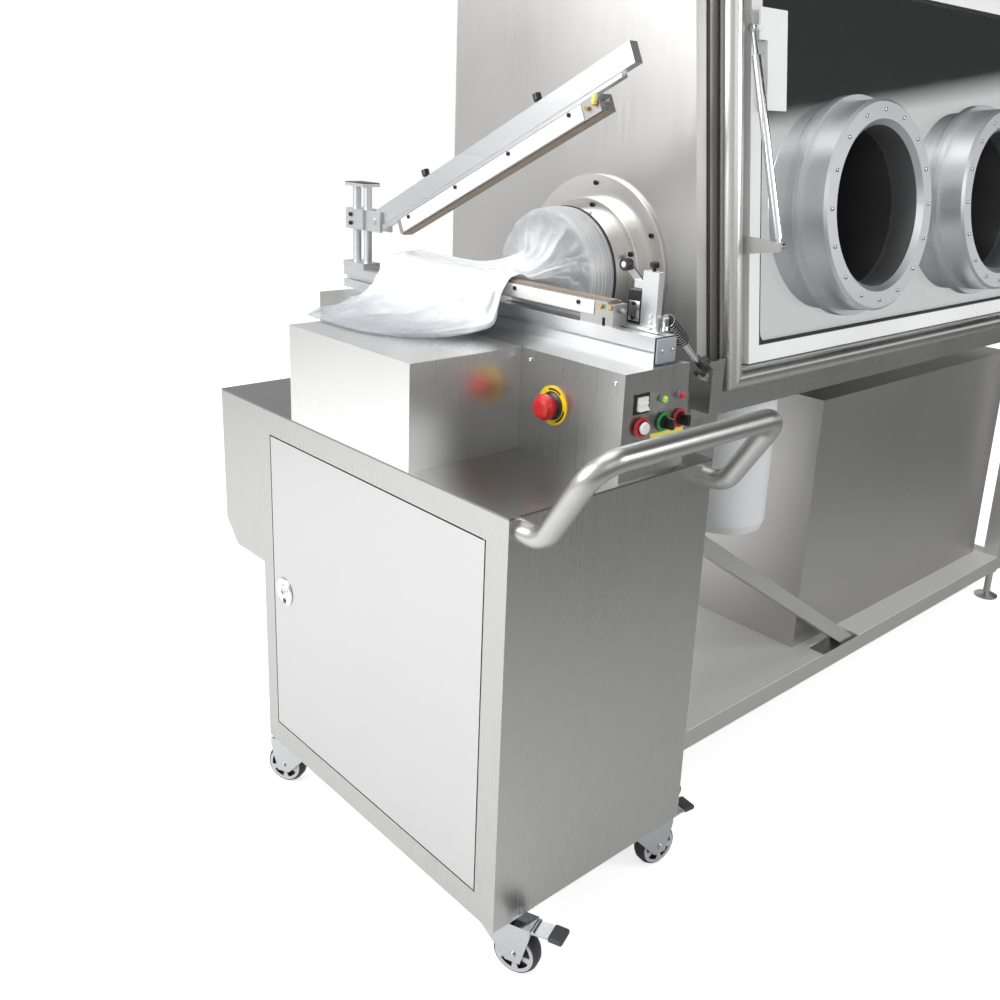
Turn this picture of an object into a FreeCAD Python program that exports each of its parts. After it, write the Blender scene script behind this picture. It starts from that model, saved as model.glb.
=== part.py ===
import FreeCAD, Part
import math
import os
import Sketcher

# Containment isolator with its bag-sealing trolley docked at the left wall.
# X runs from the trolley to the isolator, Y from the operator to the rear, Z up from the floor.
# Driving sizes in millimetres and degrees.
SIZES = {
    # running gap that parts on different bodies keep
    "touch_gap": 0.3,
    # trolley cabinet
    "cabinet_width": 420.0, "cabinet_depth": 650.0, "cabinet_height": 650.0, "castor_height": 105.0,
    "sheet": 2.0, "deck_thickness": 3.0, "frame_near": 44.0, "frame_far": 33.0, "frame_top": 44.0,
    "frame_bottom": 43.0,
    "wing_depth": 140.0, "wing_drop": 293.0, "wing_bevel_run": 40.0, "wing_bevel_rise": 42.0,
    # trolley door
    "door_gap": 2.5, "door_thickness": 18.0, "hinge_pin_radius": 2.5, "hinge_inset": 5.0,
    "hinge_block": 10.0, "hinge_bracket": 3.0, "pin_clearance": 0.06,
    "lock_from_edge": 35.0, "lock_radius": 13.0, "lock_proud": 3.0, "lock_plug_radius": 8.0,
    "lock_depth": 24.0, "cam_length": 46.0, "cam_width": 14.0, "cam_thickness": 3.0,
    # housings on the deck
    "housing_height": 160.0, "step_depth": 210.0, "step_near": 217.0, "step_width": 325.0,
    "housing_thickness": 140.0, "housing_near": 5.0,
    # push handle
    "handle_radius": 16.0, "handle_inset": 22.0, "handle_below": 22.0, "handle_above": 102.0,
    "handle_stub": 42.0, "handle_reach": 125.0, "handle_bend": 40.0,
    # castors
    "castor_inset_x": 47.0, "castor_inset_y": 40.0, "wheel_radius": 37.5, "wheel_width": 24.0,
    "castor_trail": 34.0, "castor_plate": 76.0, "castor_plate_thickness": 3.0, "race_radius": 26.0,
    "race_height": 10.0, "fork_sheet": 3.0, "fork_gap": 2.5, "axle_radius": 5.0, "bore_clearance": 0.08,
    "turn_handle_left": -68.0, "turn_handle_right": -8.0, "turn_rear_left": 118.0,
    "turn_rear_right": 35.0, "hub_radius": 12.0, "pedal_length": 46.0,
    "pedal_width": 30.0,
    # sealing bench
    "bar_left": 287.0, "bar_width": 45.0, "bar_height": 40.0, "bar_near": 22.0, "bar_far": 825.0,
    "slot_mouth": 8.0, "slot_inner": 14.0, "slot_lip": 2.0, "slot_depth": 7.0,
    "jaw_axis": 305.0, "jaw_width": 30.0, "jaw_height": 24.0, "jaw_near": 120.0, "jaw_length": 534.0,
    "jaw_lift": 12.0, "strip_width": 20.0, "strip_thickness": 2.0, "foot_length": 46.0,
    # arm
    "pivot_from_near": 726.0, "pivot_above_bar": 95.0, "arm_width": 16.0, "arm_height": 32.0,
    "arm_reach": 680.0, "arm_heel": 12.0, "arm_raise": 25.0, "arm_top": 20.0,
    "rail_width": 12.0, "rail_height": 7.0, "rail_set_back": 30.0, "upper_jaw_height": 26.0,
    "running_gap": 0.5, "jaw_drop": 5.0, "guide_pin_radius": 4.0, "guide_near": 130.0,
    "guide_far": 95.0, "guide_knob_radius": 7.0, "guide_knob_height": 10.0,
    "pin_radius": 6.0, "ear_thickness": 6.0, "ear_gap": 0.4,
    "clamp_length": 57.0, "clamp_height": 38.0, "clamp_wall": 2.5, "post_plate": 38.0,
    "post_radius": 8.0, "post_height": 162.0, "cap_thickness": 6.0, "cap_length": 62.0,
    "post_near_axis": 768.0, "post_far_axis": 804.0,
    # latch
    "latch_left": 333.0, "latch_thickness": 12.0, "latch_near": 62.0, "latch_width": 30.0,
    "latch_height": 84.0, "lever_pivot_y": 102.0, "lever_up": 63.0, "lever_length": 38.0,
    "lever_angle": 41.0, "lever_thickness": 4.0, "lever_width": 12.0, "roller_radius": 9.0,
    "switch_length": 26.0, "switch_height": 50.0, "switch_gap": 0.5,
    # docking rod
    "rod_start_x": 352.0, "rod_start_y": 60.0, "rod_up": 17.0, "rod_end_x": 532.0,
    "rod_end_y": 105.0, "rod_end_up": 42.0, "rod_radius": 5.0, "grip_radius": 11.0,
    "grip_length": 70.0, "knob_from_end": 54.0, "star_knob_radius": 17.0, "star_knob_height": 16.0, "stud_radius": 4.0,
    # controls
    "stop_y": 143.0, "stop_up": 85.0, "stop_plate_radius": 30.0, "stop_head_radius": 20.0,
    "stop_head_height": 22.0, "stop_stem_radius": 11.0, "stop_travel": 5.0, "plate_thickness": 2.0,
    "rocker_x": 247.5, "rocker_up": 114.0, "rocker_side": 26.0, "lamp_green_x": 291.0,
    "lamp_red_x": 330.0, "lamp_up": 115.0, "lamp_radius": 6.0, "selector_green_x": 295.0,
    "selector_red_x": 331.0, "selector_up": 80.0, "selector_radius": 9.0, "selector_height": 18.0,
    "button_x": 246.0, "button_radius": 9.0, "bezel_radius": 14.5, "bezel_height": 4.0,
    "control_clearance": 0.4, "shank_radius": 5.0, "shank_length": 16.0,
    # transformer in the cabinet
    "transformer_length": 120.0, "transformer_width": 100.0, "transformer_height": 110.0,
    "coil_swell": 14.0,
    # isolator
    "chamber_left": 560.0, "chamber_width": 1440.0, "chamber_bottom": 805.0, "chamber_height": 800.0,
    "front_bottom": 147.0, "front_tilt": 6.56, "rear": 825.0, "wall": 3.0,
    "front_tube_radius": 19.5, "front_tube_inset": 68.0, "front_tube_low": 18.0,
    "front_tube_top": 770.0, "opening_side": 126.0, "opening_low": 46.0, "opening_top": 720.0,
    # window
    "sash_side": 112.0, "sash_low": 39.0, "sash_top": 732.0, "sash_thickness": 24.0,
    "sash_stile": 30.0, "sash_rail": 30.0, "sash_gap": 2.0, "glass_thickness": 8.0, "glass_lap": 14.0,
    "knuckle_radius": 7.0, "knuckle_length": 20.0, "hinge_out": 32.0,
    "hinge_up": 741.0, "hinge_from_side": 300.0, "lug_thickness": 4.0,
    "port_x": 457.0, "port_up": 301.0, "port_outer": 208.0, "port_drum": 196.0, "port_bore": 150.0,
    "port_seat": 10.0, "port_stand": 62.0, "sleeve_wall": 2.0, "sleeve_length": 330.0,
    "sleeve_end": 45.0, "port_neck": 165.0, "port_inside": 6.0,
    "strut_x": 661.0, "strut_foot_y": 83.0, "strut_foot_up": 253.0, "strut_head_y": 179.0,
    "strut_head_up": 598.0, "strut_radius": 8.0, "strut_rod_radius": 4.0, "strut_body": 300.0,
    "strut_plate": 5.0, "strut_nut": 4.0, "strut_ball": 7.0, "strut_eye": 10.0, "bracket_left": 110.0,
    "bracket_arm": 76.0, "bracket_leg": 56.0, "bracket_out": 20.0, "bracket_low": 468.0,
    "bracket_notch": 579.0, "bracket_high": 630.0,
    # bag port
    "bag_port_y": 407.0, "bag_port_up": 176.0, "flange_radius": 175.0, "flange_thickness": 8.0,
    "ring_radius": 135.0, "ring_thickness": 24.0, "collar_radius": 114.0, "collar_length": 125.0,
    "collar_wall": 5.0, "collar_inside": 30.0, "bag_lay_flat": 358.0, "bag_drift": 95.0,
    "film_half": 6.0, "fold_half": 12.0, "tail_from_edge": 60.0,
    # stand
    "tube": 40.0, "rail_front": 130.0, "base_low": 90.0, "brace_high": 534.0,
    "brace_run": 640.0, "brace_tube": 30.0, "foot_radius": 30.0, "foot_height": 12.0,
    "foot_stem": 9.0, "under_left": 490.0, "under_front": 60.0, "under_side": 60.0,
    "bin_x": 830.0, "bin_y": 264.0, "bin_radius": 88.0, "bin_hang": 340.0, "bin_round": 22.0,
    "bin_wall": 3.0,
    "filter_radius": 150.0, "filter_height": 150.0, "spigot_radius": 50.0, "spigot_height": 60.0,
    "filter_from_side": 340.0,
    "dock_plate": 8.0, "dock_left": 516.0, "dock_near": 86.0, "dock_below": 35.0, "dock_above": 60.0,
    "dock_slot_up": 39.0, "dock_slot_near": 95.0, "dock_slot_width": 19.0, "dock_flange": 6.0,
}

doc = FreeCAD.newDocument("ContainmentIsolator")
sheet = doc.addObject("Spreadsheet::Sheet", "Sizes")
for row, (alias, number) in enumerate(SIZES.items(), start=1):
    sheet.set("A%d" % row, alias)
    sheet.set("B%d" % row, str(number))
    sheet.setAlias("B%d" % row, alias)
doc.recompute()


class Size:
    """A length or an angle that carries both its number and the expression behind it."""

    def __init__(self, number, text):
        self.number = number
        self.text = text

    def __add__(self, other):
        other = size(other)
        return Size(self.number + other.number, "(%s + %s)" % (self.text, other.text))

    def __sub__(self, other):
        other = size(other)
        return Size(self.number - other.number, "(%s - %s)" % (self.text, other.text))

    def __mul__(self, other):
        other = size(other)
        return Size(self.number * other.number, "(%s * %s)" % (self.text, other.text))

    def __truediv__(self, other):
        other = size(other)
        return Size(self.number / other.number, "(%s / %s)" % (self.text, other.text))

    def __radd__(self, other):
        return size(other) + self

    def __rsub__(self, other):
        return size(other) - self

    def __rmul__(self, other):
        return size(other) * self

    def __neg__(self):
        return Size(-self.number, "(-1 * %s)" % self.text)


def size(value):
    """A plain number becomes a Size, and a Size stays as it is."""
    if isinstance(value, Size):
        return value
    return Size(float(value), repr(float(value)))


def tangent(angle):
    return Size(math.tan(math.radians(angle.number)), "tan(%s)" % angle.text)


def cosine(angle):
    return Size(math.cos(math.radians(angle.number)), "cos(%s)" % angle.text)


def sine(angle):
    return Size(math.sin(math.radians(angle.number)), "sin(%s)" % angle.text)


def arc_tangent(ratio):
    return Size(math.degrees(math.atan(ratio.number)), "atan(%s)" % ratio.text)


def root(value):
    return Size(math.sqrt(value.number), "sqrt(%s)" % value.text)


class Sizes:
    """Each alias of the sheet as a Size."""

    def __getattr__(self, alias):
        return Size(sheet.get(alias), "Sizes." + alias)


S = Sizes()


def bind(thing, prop, value):
    """Bind a property to its expression, or set it where it is a plain zero."""
    value = size(value)
    if "Sizes." in value.text:
        thing.setExpression(prop, value.text)
    elif prop.startswith(".Placement.Base."):
        base = thing.Placement.Base
        setattr(base, prop[-1], value.number)
        thing.Placement.Base = base
    else:
        setattr(thing, prop, value.number)


# Directions: the turn that takes +Z to the named direction.
TURNS = {
    "+Z": ((1, 0, 0), 0),
    "-Z": ((1, 0, 0), 180),
    "+X": ((0, 1, 0), 90),
    "-X": ((0, 1, 0), -90),
    "+Y": ((1, 0, 0), -90),
    "-Y": ((1, 0, 0), 90),
}


def place(thing, x, y, z, axis=(1, 0, 0), angle=0):
    """Seat a thing at a bound position, turned about an axis by a bound or plain angle."""
    angle = size(angle)
    thing.Placement = FreeCAD.Placement(
        FreeCAD.Vector(size(x).number, size(y).number, size(z).number),
        FreeCAD.Rotation(FreeCAD.Vector(*axis), angle.number))
    bind(thing, ".Placement.Base.x", x)
    bind(thing, ".Placement.Base.y", y)
    bind(thing, ".Placement.Base.z", z)
    if "Sizes." in angle.text:
        thing.setExpression(".Placement.Rotation.Angle", angle.text)
    return thing


def box(name, x, y, z, dx, dy, dz):
    thing = doc.addObject("Part::Box", name)
    bind(thing, "Length", dx)
    bind(thing, "Width", dy)
    bind(thing, "Height", dz)
    return place(thing, x, y, z)


def rod(name, x, y, z, radius, length, toward="+Z"):
    """A round bar from its first face toward a direction."""
    thing = doc.addObject("Part::Cylinder", name)
    bind(thing, "Radius", radius)
    bind(thing, "Height", length)
    axis, angle = TURNS[toward]
    return place(thing, x, y, z, axis, angle)


def cut(name, base, *tools):
    for number, tool in enumerate(tools):
        step = doc.addObject("Part::Cut", name if number == len(tools) - 1 else name + "_step")
        step.Base = base
        step.Tool = tool
        base = step
    return base


def fuse(name, *things):
    joined = doc.addObject("Part::MultiFuse", name)
    joined.Shapes = list(things)
    joined.Refine = True
    return joined


def group(name, *things):
    """Separate solids that share one node."""
    joined = doc.addObject("Part::Compound", name)
    joined.Links = list(things)
    return joined


def pad(name, plane, points, length, reverse=False, midplane=False, holes=()):
    """A closed outline on a plane of its own body, padded by a bound length."""
    body = doc.addObject("PartDesign::Body", name)
    sketch = body.newObject("Sketcher::SketchObject", name + "_outline")
    support = [item for item in body.Origin.OriginFeatures if item.Role == plane][0]
    sketch.AttachmentSupport = [(support, "")]
    sketch.MapMode = "FlatFace"
    outline(sketch, points)
    for hole in holes:
        outline(sketch, hole)
    feature = body.newObject("PartDesign::Pad", name + "_pad")
    feature.Profile = sketch
    feature.Reversed = reverse
    feature.Midplane = midplane
    bind(feature, "Length", length)
    body.Tip = feature
    return body


def turned(name, points, toward="+Z"):
    """A round piece: its half section (radius, height) turned about the body's own Z."""
    body = doc.addObject("PartDesign::Body", name)
    sketch = body.newObject("Sketcher::SketchObject", name + "_section")
    support = [item for item in body.Origin.OriginFeatures if item.Role == "XZ_Plane"][0]
    sketch.AttachmentSupport = [(support, "")]
    sketch.MapMode = "FlatFace"
    outline(sketch, points)
    feature = body.newObject("PartDesign::Revolution", name + "_turn")
    feature.Profile = sketch
    feature.ReferenceAxis = (sketch, ["V_Axis"])
    feature.Angle = 360
    body.Tip = feature
    axis, angle = TURNS[toward]
    body.Placement.Rotation = FreeCAD.Rotation(FreeCAD.Vector(*axis), angle)
    return body


def outline(sketch, points):
    """A closed run of lines whose corners are bound to the sheet."""
    points = [(size(across), size(up)) for across, up in points]
    first = sketch.GeometryCount
    count = len(points)
    for number in range(count):
        start = points[number]
        end = points[(number + 1) % count]
        sketch.addGeometry(Part.LineSegment(
            FreeCAD.Vector(start[0].number, start[1].number, 0),
            FreeCAD.Vector(end[0].number, end[1].number, 0)))
    for number in range(count):
        following = first + (number + 1) % count
        sketch.addConstraint(Sketcher.Constraint("Coincident", first + number, 2, following, 1))
    for number, (across, up) in enumerate(points):
        hold(sketch, first + number, "DistanceX", across, -2)
        hold(sketch, first + number, "DistanceY", up, -1)


def hold(sketch, line, kind, value, zero_axis):
    """Hold the start of a line at a bound distance from the sketch's origin."""
    if "Sizes." not in value.text and value.number == 0:
        sketch.addConstraint(Sketcher.Constraint("PointOnObject", line, 1, zero_axis))
        return
    index = sketch.addConstraint(Sketcher.Constraint(kind, -1, 1, line, 1, value.number))
    if "Sizes." in value.text:
        sketch.setExpression("Constraints[%d]" % index, value.text)


# The origin lies on the floor under the middle of the whole outline.
FOOT_OVERHANG = S.foot_radius - S.tube / 2
ORIGIN_X = (S.chamber_left + S.chamber_width + FOOT_OVERHANG - S.lock_proud) / 2
ORIGIN_Y = (S.rear + FOOT_OVERHANG - S.handle_reach - S.handle_radius) / 2
NODES = []


def sub_part(label, thing, x=0, y=0, z=0, axis=None, angle=0):
    """Name a finished piece and seat it in the common frame."""
    if thing.TypeId in ("Part::Box", "Part::Cylinder"):
        thing = group(label + "_solid", thing)
    thing.Label = label
    if axis is None:
        rotation = thing.Placement.Rotation
        axis = tuple(rotation.Axis)
        angle = math.degrees(rotation.Angle)
    place(thing, x - ORIGIN_X, y - ORIGIN_Y, z, axis, angle)
    NODES.append(thing)
    return thing


def open_box(name, x, y, z, dx, dy, dz, wall, below):
    """A sheet housing with five walls, open underneath."""
    outer = box(name + "_outside", x, y, z, dx, dy, dz)
    inner = box(name + "_inside", x + wall, y + wall, z - below,
                dx - 2 * wall, dy - 2 * wall, dz - wall + below)
    return cut(name, outer, inner)


# Heights that several pieces share.
DECK_TOP = S.castor_height + S.cabinet_height
HOUSING_TOP = DECK_TOP + S.housing_height
BAR_TOP = HOUSING_TOP + S.bar_height
JAW_BOTTOM = BAR_TOP + S.jaw_lift
JAW_TOP = JAW_BOTTOM + S.jaw_height
STRIP_TOP = JAW_TOP + S.strip_thickness
PIVOT_Z = BAR_TOP + S.pivot_above_bar
HANDLE_LOW = DECK_TOP - S.handle_below
HANDLE_HIGH = DECK_TOP + S.handle_above
STOP_Z = DECK_TOP + S.stop_up
ROCKER_Z = DECK_TOP + S.rocker_up
LAMP_Z = DECK_TOP + S.lamp_up
SELECTOR_Z = DECK_TOP + S.selector_up
POST_TOP = BAR_TOP + S.post_height
LATCH_TOP = BAR_TOP + S.latch_height
LEVER_Z = BAR_TOP + S.lever_up
ROD_START_Z = BAR_TOP + S.rod_up
ROD_END_Z = S.chamber_bottom + S.rod_end_up
STRUT_FOOT_Z = S.chamber_bottom + S.strut_foot_up
STRUT_HEAD_Z = S.chamber_bottom + S.strut_head_up
BAG_PORT_Z = S.chamber_bottom + S.bag_port_up
DOCK_LOW = S.chamber_bottom - S.dock_below
DOCK_HIGH = S.chamber_bottom + S.dock_above
DOCK_SLOT_LOW = S.chamber_bottom + S.dock_slot_up
BIN_BOTTOM = S.chamber_bottom - S.bin_hang
HOUSING_RIGHT = S.step_depth + S.housing_thickness


# Trolley cabinet: a sheet shell with the far-side wing, a door opening and two pivot pins.
DOOR_NEAR = S.frame_near + S.door_gap
DOOR_LOW = S.frame_bottom + S.door_gap
DOOR_WIDTH = S.cabinet_depth - S.frame_far - S.door_gap - DOOR_NEAR
DOOR_HEIGHT = S.cabinet_height - S.frame_top - S.door_gap - DOOR_LOW
HINGE_Y = DOOR_NEAR + S.hinge_inset


def cabinet_shell():
    t = S.sheet
    height = S.cabinet_height - S.deck_thickness
    wing_low = S.cabinet_height - S.wing_drop
    far = S.cabinet_depth + S.wing_depth
    bevel_low = far - S.wing_bevel_run
    outside = pad("cabinet_outside", "YZ_Plane", [
        (0, 0), (S.cabinet_depth, 0), (S.cabinet_depth, wing_low), (bevel_low, wing_low),
        (far, wing_low + S.wing_bevel_rise), (far, height), (0, height)], S.cabinet_width)
    inside = pad("cabinet_inside", "YZ_Plane", [
        (t, t), (S.cabinet_depth - t, t), (S.cabinet_depth - t, wing_low + t),
        (bevel_low - t / 2, wing_low + t), (far - t, wing_low + S.wing_bevel_rise + t / 2),
        (far - t, height + t), (t, height + t)], S.cabinet_width - 2 * t)
    place(inside, t, 0, 0)
    opening = box("door_opening", -t, S.frame_near, S.frame_bottom, 3 * t,
                  S.cabinet_depth - S.frame_near - S.frame_far,
                  S.cabinet_height - S.frame_bottom - S.frame_top)
    shell = cut("cabinet_sheet", outside, inside, opening)
    keep = box("lock_fold", 0, S.cabinet_depth - S.frame_far, S.frame_bottom, S.door_thickness, t,
               S.cabinet_height - S.frame_bottom - S.frame_top)
    pieces = [shell, keep]
    reach = 2 * S.hinge_inset
    low = S.frame_bottom - S.hinge_bracket
    high = S.cabinet_height - S.frame_top
    pin_length = S.hinge_bracket + S.door_gap + S.hinge_block
    for name, floor_z, pin_z in (("lower", low, low), ("upper", high, high + S.hinge_bracket - pin_length)):
        pieces.append(box(name + "_bracket", t / 2, HINGE_Y - S.hinge_inset, floor_z,
                          reach - t / 2, reach, S.hinge_bracket))
        pieces.append(rod(name + "_pin", S.hinge_inset, HINGE_Y, pin_z, S.hinge_pin_radius, pin_length))
    return sub_part("cabinet_shell", fuse("cabinet_with_pins", *pieces), 0, 0, S.castor_height)


# Deck sheet that closes the cabinet and its wing.
def worktop_deck():
    deck = box("deck_sheet", 0, 0, 0, S.cabinet_width, S.cabinet_depth + S.wing_depth,
               S.deck_thickness)
    return sub_part("worktop_deck", deck, 0, 0, DECK_TOP - S.deck_thickness)


# Folded door with pivot blocks at its near corners and a bore for the lock.
def cabinet_door():
    t = S.sheet
    skin = box("door_skin", 0, DOOR_NEAR, DOOR_LOW, S.door_thickness, DOOR_WIDTH, DOOR_HEIGHT)
    back = box("door_hollow", t, DOOR_NEAR + t, DOOR_LOW + t, S.door_thickness,
               DOOR_WIDTH - 2 * t, DOOR_HEIGHT - 2 * t)
    pan = cut("door_pan", skin, back)
    blocks = []
    bores = []
    bore_radius = S.hinge_pin_radius + S.pin_clearance
    for name, block_z in (("lower", DOOR_LOW), ("upper", DOOR_LOW + DOOR_HEIGHT - S.hinge_block)):
        blocks.append(box(name + "_block", t / 2, DOOR_NEAR + t / 2, block_z,
                          2 * S.hinge_inset, 2 * S.hinge_inset, S.hinge_block))
        bores.append(rod(name + "_bore", S.hinge_inset, HINGE_Y, block_z - t, bore_radius,
                         S.hinge_block + 2 * t))
    lock_y = DOOR_NEAR + DOOR_WIDTH - S.lock_from_edge
    lock_z = DOOR_LOW + DOOR_HEIGHT / 2
    lock_hole = rod("lock_hole", -t, lock_y, lock_z, S.lock_radius - t, 3 * t, "+X")
    door = cut("door", fuse("door_with_blocks", pan, *blocks), *bores, lock_hole)
    return sub_part("cabinet_door", door, 0, 0, S.castor_height)


LOCK_Y = DOOR_NEAR + DOOR_WIDTH - S.lock_from_edge
LOCK_Z = S.castor_height + DOOR_LOW + DOOR_HEIGHT / 2


# Lock body: a domed escutcheon and a barrel through the door.
def door_lock():
    barrel = S.lock_radius - S.sheet
    bore = S.lock_plug_radius + S.pin_clearance
    body = turned("lock_body", [
        (bore, -S.lock_proud), (S.lock_radius - S.lock_proud / 2, -S.lock_proud),
        (S.lock_radius, -S.lock_proud / 2), (S.lock_radius, 0), (barrel, 0), (barrel, S.lock_depth),
        (bore, S.lock_depth)], "+X")
    return sub_part("door_lock", body, 0, LOCK_Y, LOCK_Z)


# Lock plug with its key slot in front and the cam behind.
def door_lock_cam():
    plug = rod("lock_plug", -S.lock_proud / 2, 0, 0, S.lock_plug_radius,
               S.lock_depth + S.cam_thickness + S.lock_proud, "+X")
    slot = box("key_slot", -S.lock_proud, -S.sheet / 2, -S.lock_plug_radius / 2,
               S.lock_proud * 2, S.sheet, S.lock_plug_radius)
    cam = box("cam", S.lock_depth + S.pin_clearance, -S.cam_width / 2, -S.cam_width / 2,
              S.cam_thickness, S.cam_width, S.cam_length)
    return sub_part("door_lock_cam", fuse("plug_with_cam", cut("slotted_plug", plug, slot), cam),
                    0, LOCK_Y, LOCK_Z)


# Sheet housings that stand on the deck.
def step_box():
    shell = open_box("step_shell", 0, S.step_near, 0, S.step_depth, S.step_width,
                     S.housing_height, S.sheet, S.sheet)
    return sub_part("step_box", shell, 0, 0, DECK_TOP)


def control_housing():
    t = S.sheet
    width = S.cabinet_depth + S.wing_depth - S.housing_near
    shell = open_box("control_shell", S.step_depth, S.housing_near, 0, S.housing_thickness,
                     width, S.housing_height, t, t)
    holes = [rod("stop_hole", S.step_depth - t, S.stop_y, STOP_Z - DECK_TOP,
                 S.stop_stem_radius + S.control_clearance, 3 * t, "+X")]
    for name, x, z in (("green_selector", S.selector_green_x, SELECTOR_Z),
                       ("red_selector", S.selector_red_x, SELECTOR_Z),
                       ("button", S.button_x, SELECTOR_Z)):
        holes.append(rod(name + "_hole", x, S.housing_near - t, z - DECK_TOP,
                         S.shank_radius + S.control_clearance, 3 * t, "+Y"))
    holes.append(box("rocker_hole", S.rocker_x - S.rocker_side / 2 + t, S.housing_near - t,
                     ROCKER_Z - DECK_TOP - S.rocker_side / 2 + t, S.rocker_side - 2 * t, 3 * t,
                     S.rocker_side - 2 * t))
    return sub_part("control_housing", cut("control_case", shell, *holes), 0, 0, DECK_TOP)


# Tube run through points with a bend at each inner corner.
def bent_path(points, bend):
    vectors = [FreeCAD.Vector(*point) for point in points]
    edges = []
    start = vectors[0]
    for before, corner, after in zip(vectors, vectors[1:], vectors[2:]):
        back = (before - corner).normalize()
        ahead = (after - corner).normalize()
        half = back.getAngle(ahead) / 2
        trim = bend / math.tan(half)
        first = corner + back * trim
        last = corner + ahead * trim
        middle_ray = (back + ahead).normalize()
        centre = corner + middle_ray * (bend / math.sin(half))
        middle = centre - middle_ray * bend
        edges.append(Part.LineSegment(start, first).toShape())
        edges.append(Part.Arc(first, middle, last).toShape())
        start = last
    edges.append(Part.LineSegment(start, vectors[-1]).toShape())
    return Part.Wire(edges)


def tube_shape(path, radius, corners=0):
    start = path.Edges[0]
    heading = start.tangentAt(start.FirstParameter)
    section = Part.Wire([Part.makeCircle(radius, start.valueAt(start.FirstParameter), heading)])
    return path.makePipeShell([section], True, False, corners)


# Push handle: one bent tube from stub to stub.
def push_handle():
    near = S.handle_inset.number
    far = S.cabinet_width.number - near
    stub = -S.handle_stub.number
    reach = -S.handle_reach.number
    low = HANDLE_LOW.number
    high = HANDLE_HIGH.number
    path = bent_path([(near, 0, low), (near, stub, low), (near, reach, high), (far, reach, high),
                      (far, stub, low), (far, 0, low)], S.handle_bend.number)
    handle = doc.addObject("Part::Feature", "handle_tube")
    handle.Shape = tube_shape(path, S.handle_radius.number)
    return sub_part("push_handle", handle, 0, 0, 0)


# Castors: plate and swivel race under the cabinet, then fork, wheel and brake about each axis.
CASTORS = (
    ("handle_left", S.castor_inset_x, S.castor_inset_y, S.turn_handle_left, True),
    ("handle_right", S.cabinet_width - S.castor_inset_x, S.castor_inset_y, S.turn_handle_right, True),
    ("rear_left", S.castor_inset_x, S.cabinet_depth - S.castor_inset_y, S.turn_rear_left, False),
    ("rear_right", S.cabinet_width - S.castor_inset_x, S.cabinet_depth - S.castor_inset_y,
     S.turn_rear_right, False),
)
RACE_LOW = S.castor_height - S.castor_plate_thickness - S.race_height


def castor_plates():
    half = S.castor_plate / 2
    pieces = []
    for name, x, y, turn, braked in CASTORS:
        plate = box(name + "_plate", x - half, y - half, S.castor_height - S.castor_plate_thickness,
                    S.castor_plate, S.castor_plate, S.castor_plate_thickness)
        race = turned(name + "_race", [
            (0, 0), (S.race_radius - S.race_height / 2, 0), (S.race_radius, S.race_height / 2),
            (S.race_radius, S.race_height), (0, S.race_height)])
        place(race, x, y, RACE_LOW)
        pieces.append(fuse(name + "_mount", plate, race))
    return sub_part("castor_plates", group("castor_mounts", *pieces), 0, 0, 0)


def castor_fork(name, x, y, turn):
    """Pressed fork with two legs that carry the axle, trailing along its own +X."""
    t = S.fork_sheet
    width = S.wheel_width + 2 * S.fork_gap + 2 * t
    crown_top = RACE_LOW - S.touch_gap
    crown_low = 2 * S.wheel_radius + S.fork_gap
    side = pad(name + "_side", "XZ_Plane", [
        (-S.race_radius, crown_low), (S.castor_trail - S.hub_radius, S.wheel_radius - S.hub_radius),
        (S.castor_trail + S.hub_radius, S.wheel_radius - S.hub_radius),
        (S.castor_trail + S.race_radius, crown_low), (S.castor_trail + S.race_radius, crown_top),
        (-S.race_radius, crown_top)], width, midplane=True)
    gap = box(name + "_gap", -2 * S.race_radius, -width / 2 + t, 0,
              S.castor_trail + 4 * S.race_radius, width - 2 * t, crown_low + S.fork_gap)
    bore = rod(name + "_bore", S.castor_trail, -width / 2, S.wheel_radius, S.axle_radius, width, "+Y")
    axle = rod(name + "_axle", S.castor_trail, -width / 2 - t, S.wheel_radius, S.axle_radius,
               width + 2 * t, "+Y")
    fork = cut(name + "_fork", side, gap, bore)
    return sub_part("castor_fork_" + name, group(name + "_fork_with_axle", fork, axle),
                    x, y, 0, (0, 0, 1), turn)


def castor_wheel(name, x, y, turn):
    """Tyre, web and hub turned as one wheel with a running bore."""
    half = S.wheel_width / 2
    bore = S.axle_radius + S.bore_clearance
    tread = S.wheel_radius - S.fork_sheet
    wheel = turned(name + "_wheel", [
        (bore, -half), (S.hub_radius, -half), (S.hub_radius, -half / 2), (tread - S.hub_radius / 2, -half / 2),
        (tread - S.hub_radius / 2, -half), (tread, -half), (S.wheel_radius, -half / 2),
        (S.wheel_radius, half / 2), (tread, half), (tread - S.hub_radius / 2, half),
        (tread - S.hub_radius / 2, half / 2), (S.hub_radius, half / 2), (S.hub_radius, half),
        (bore, half)], "+Y")
    place(wheel, S.castor_trail, 0, S.wheel_radius, (1, 0, 0), -90)
    return sub_part("castor_wheel_" + name, group(name + "_wheel_node", wheel), x, y, 0, (0, 0, 1), turn)


def castor_brake(name, x, y, turn):
    """Foot pedal hinged on the fork's rear edge."""
    pin = S.fork_sheet
    hinge_x = S.castor_trail + S.race_radius + S.touch_gap + pin
    hinge_z = RACE_LOW - S.touch_gap - pin
    sheet = pad(name + "_pedal_sheet", "XZ_Plane", [
        (0, -pin), (S.pedal_length, 0), (S.pedal_length, pin), (0, 0)], S.pedal_width, midplane=True)
    place(sheet, hinge_x, 0, hinge_z)
    pivot = rod(name + "_pedal_pivot", hinge_x, -S.pedal_width / 2, hinge_z, pin, S.pedal_width, "+Y")
    pedal = fuse(name + "_pedal", sheet, pivot)
    return sub_part("castor_brake_" + name, pedal, x, y, 0, (0, 0, 1), turn)


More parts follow.
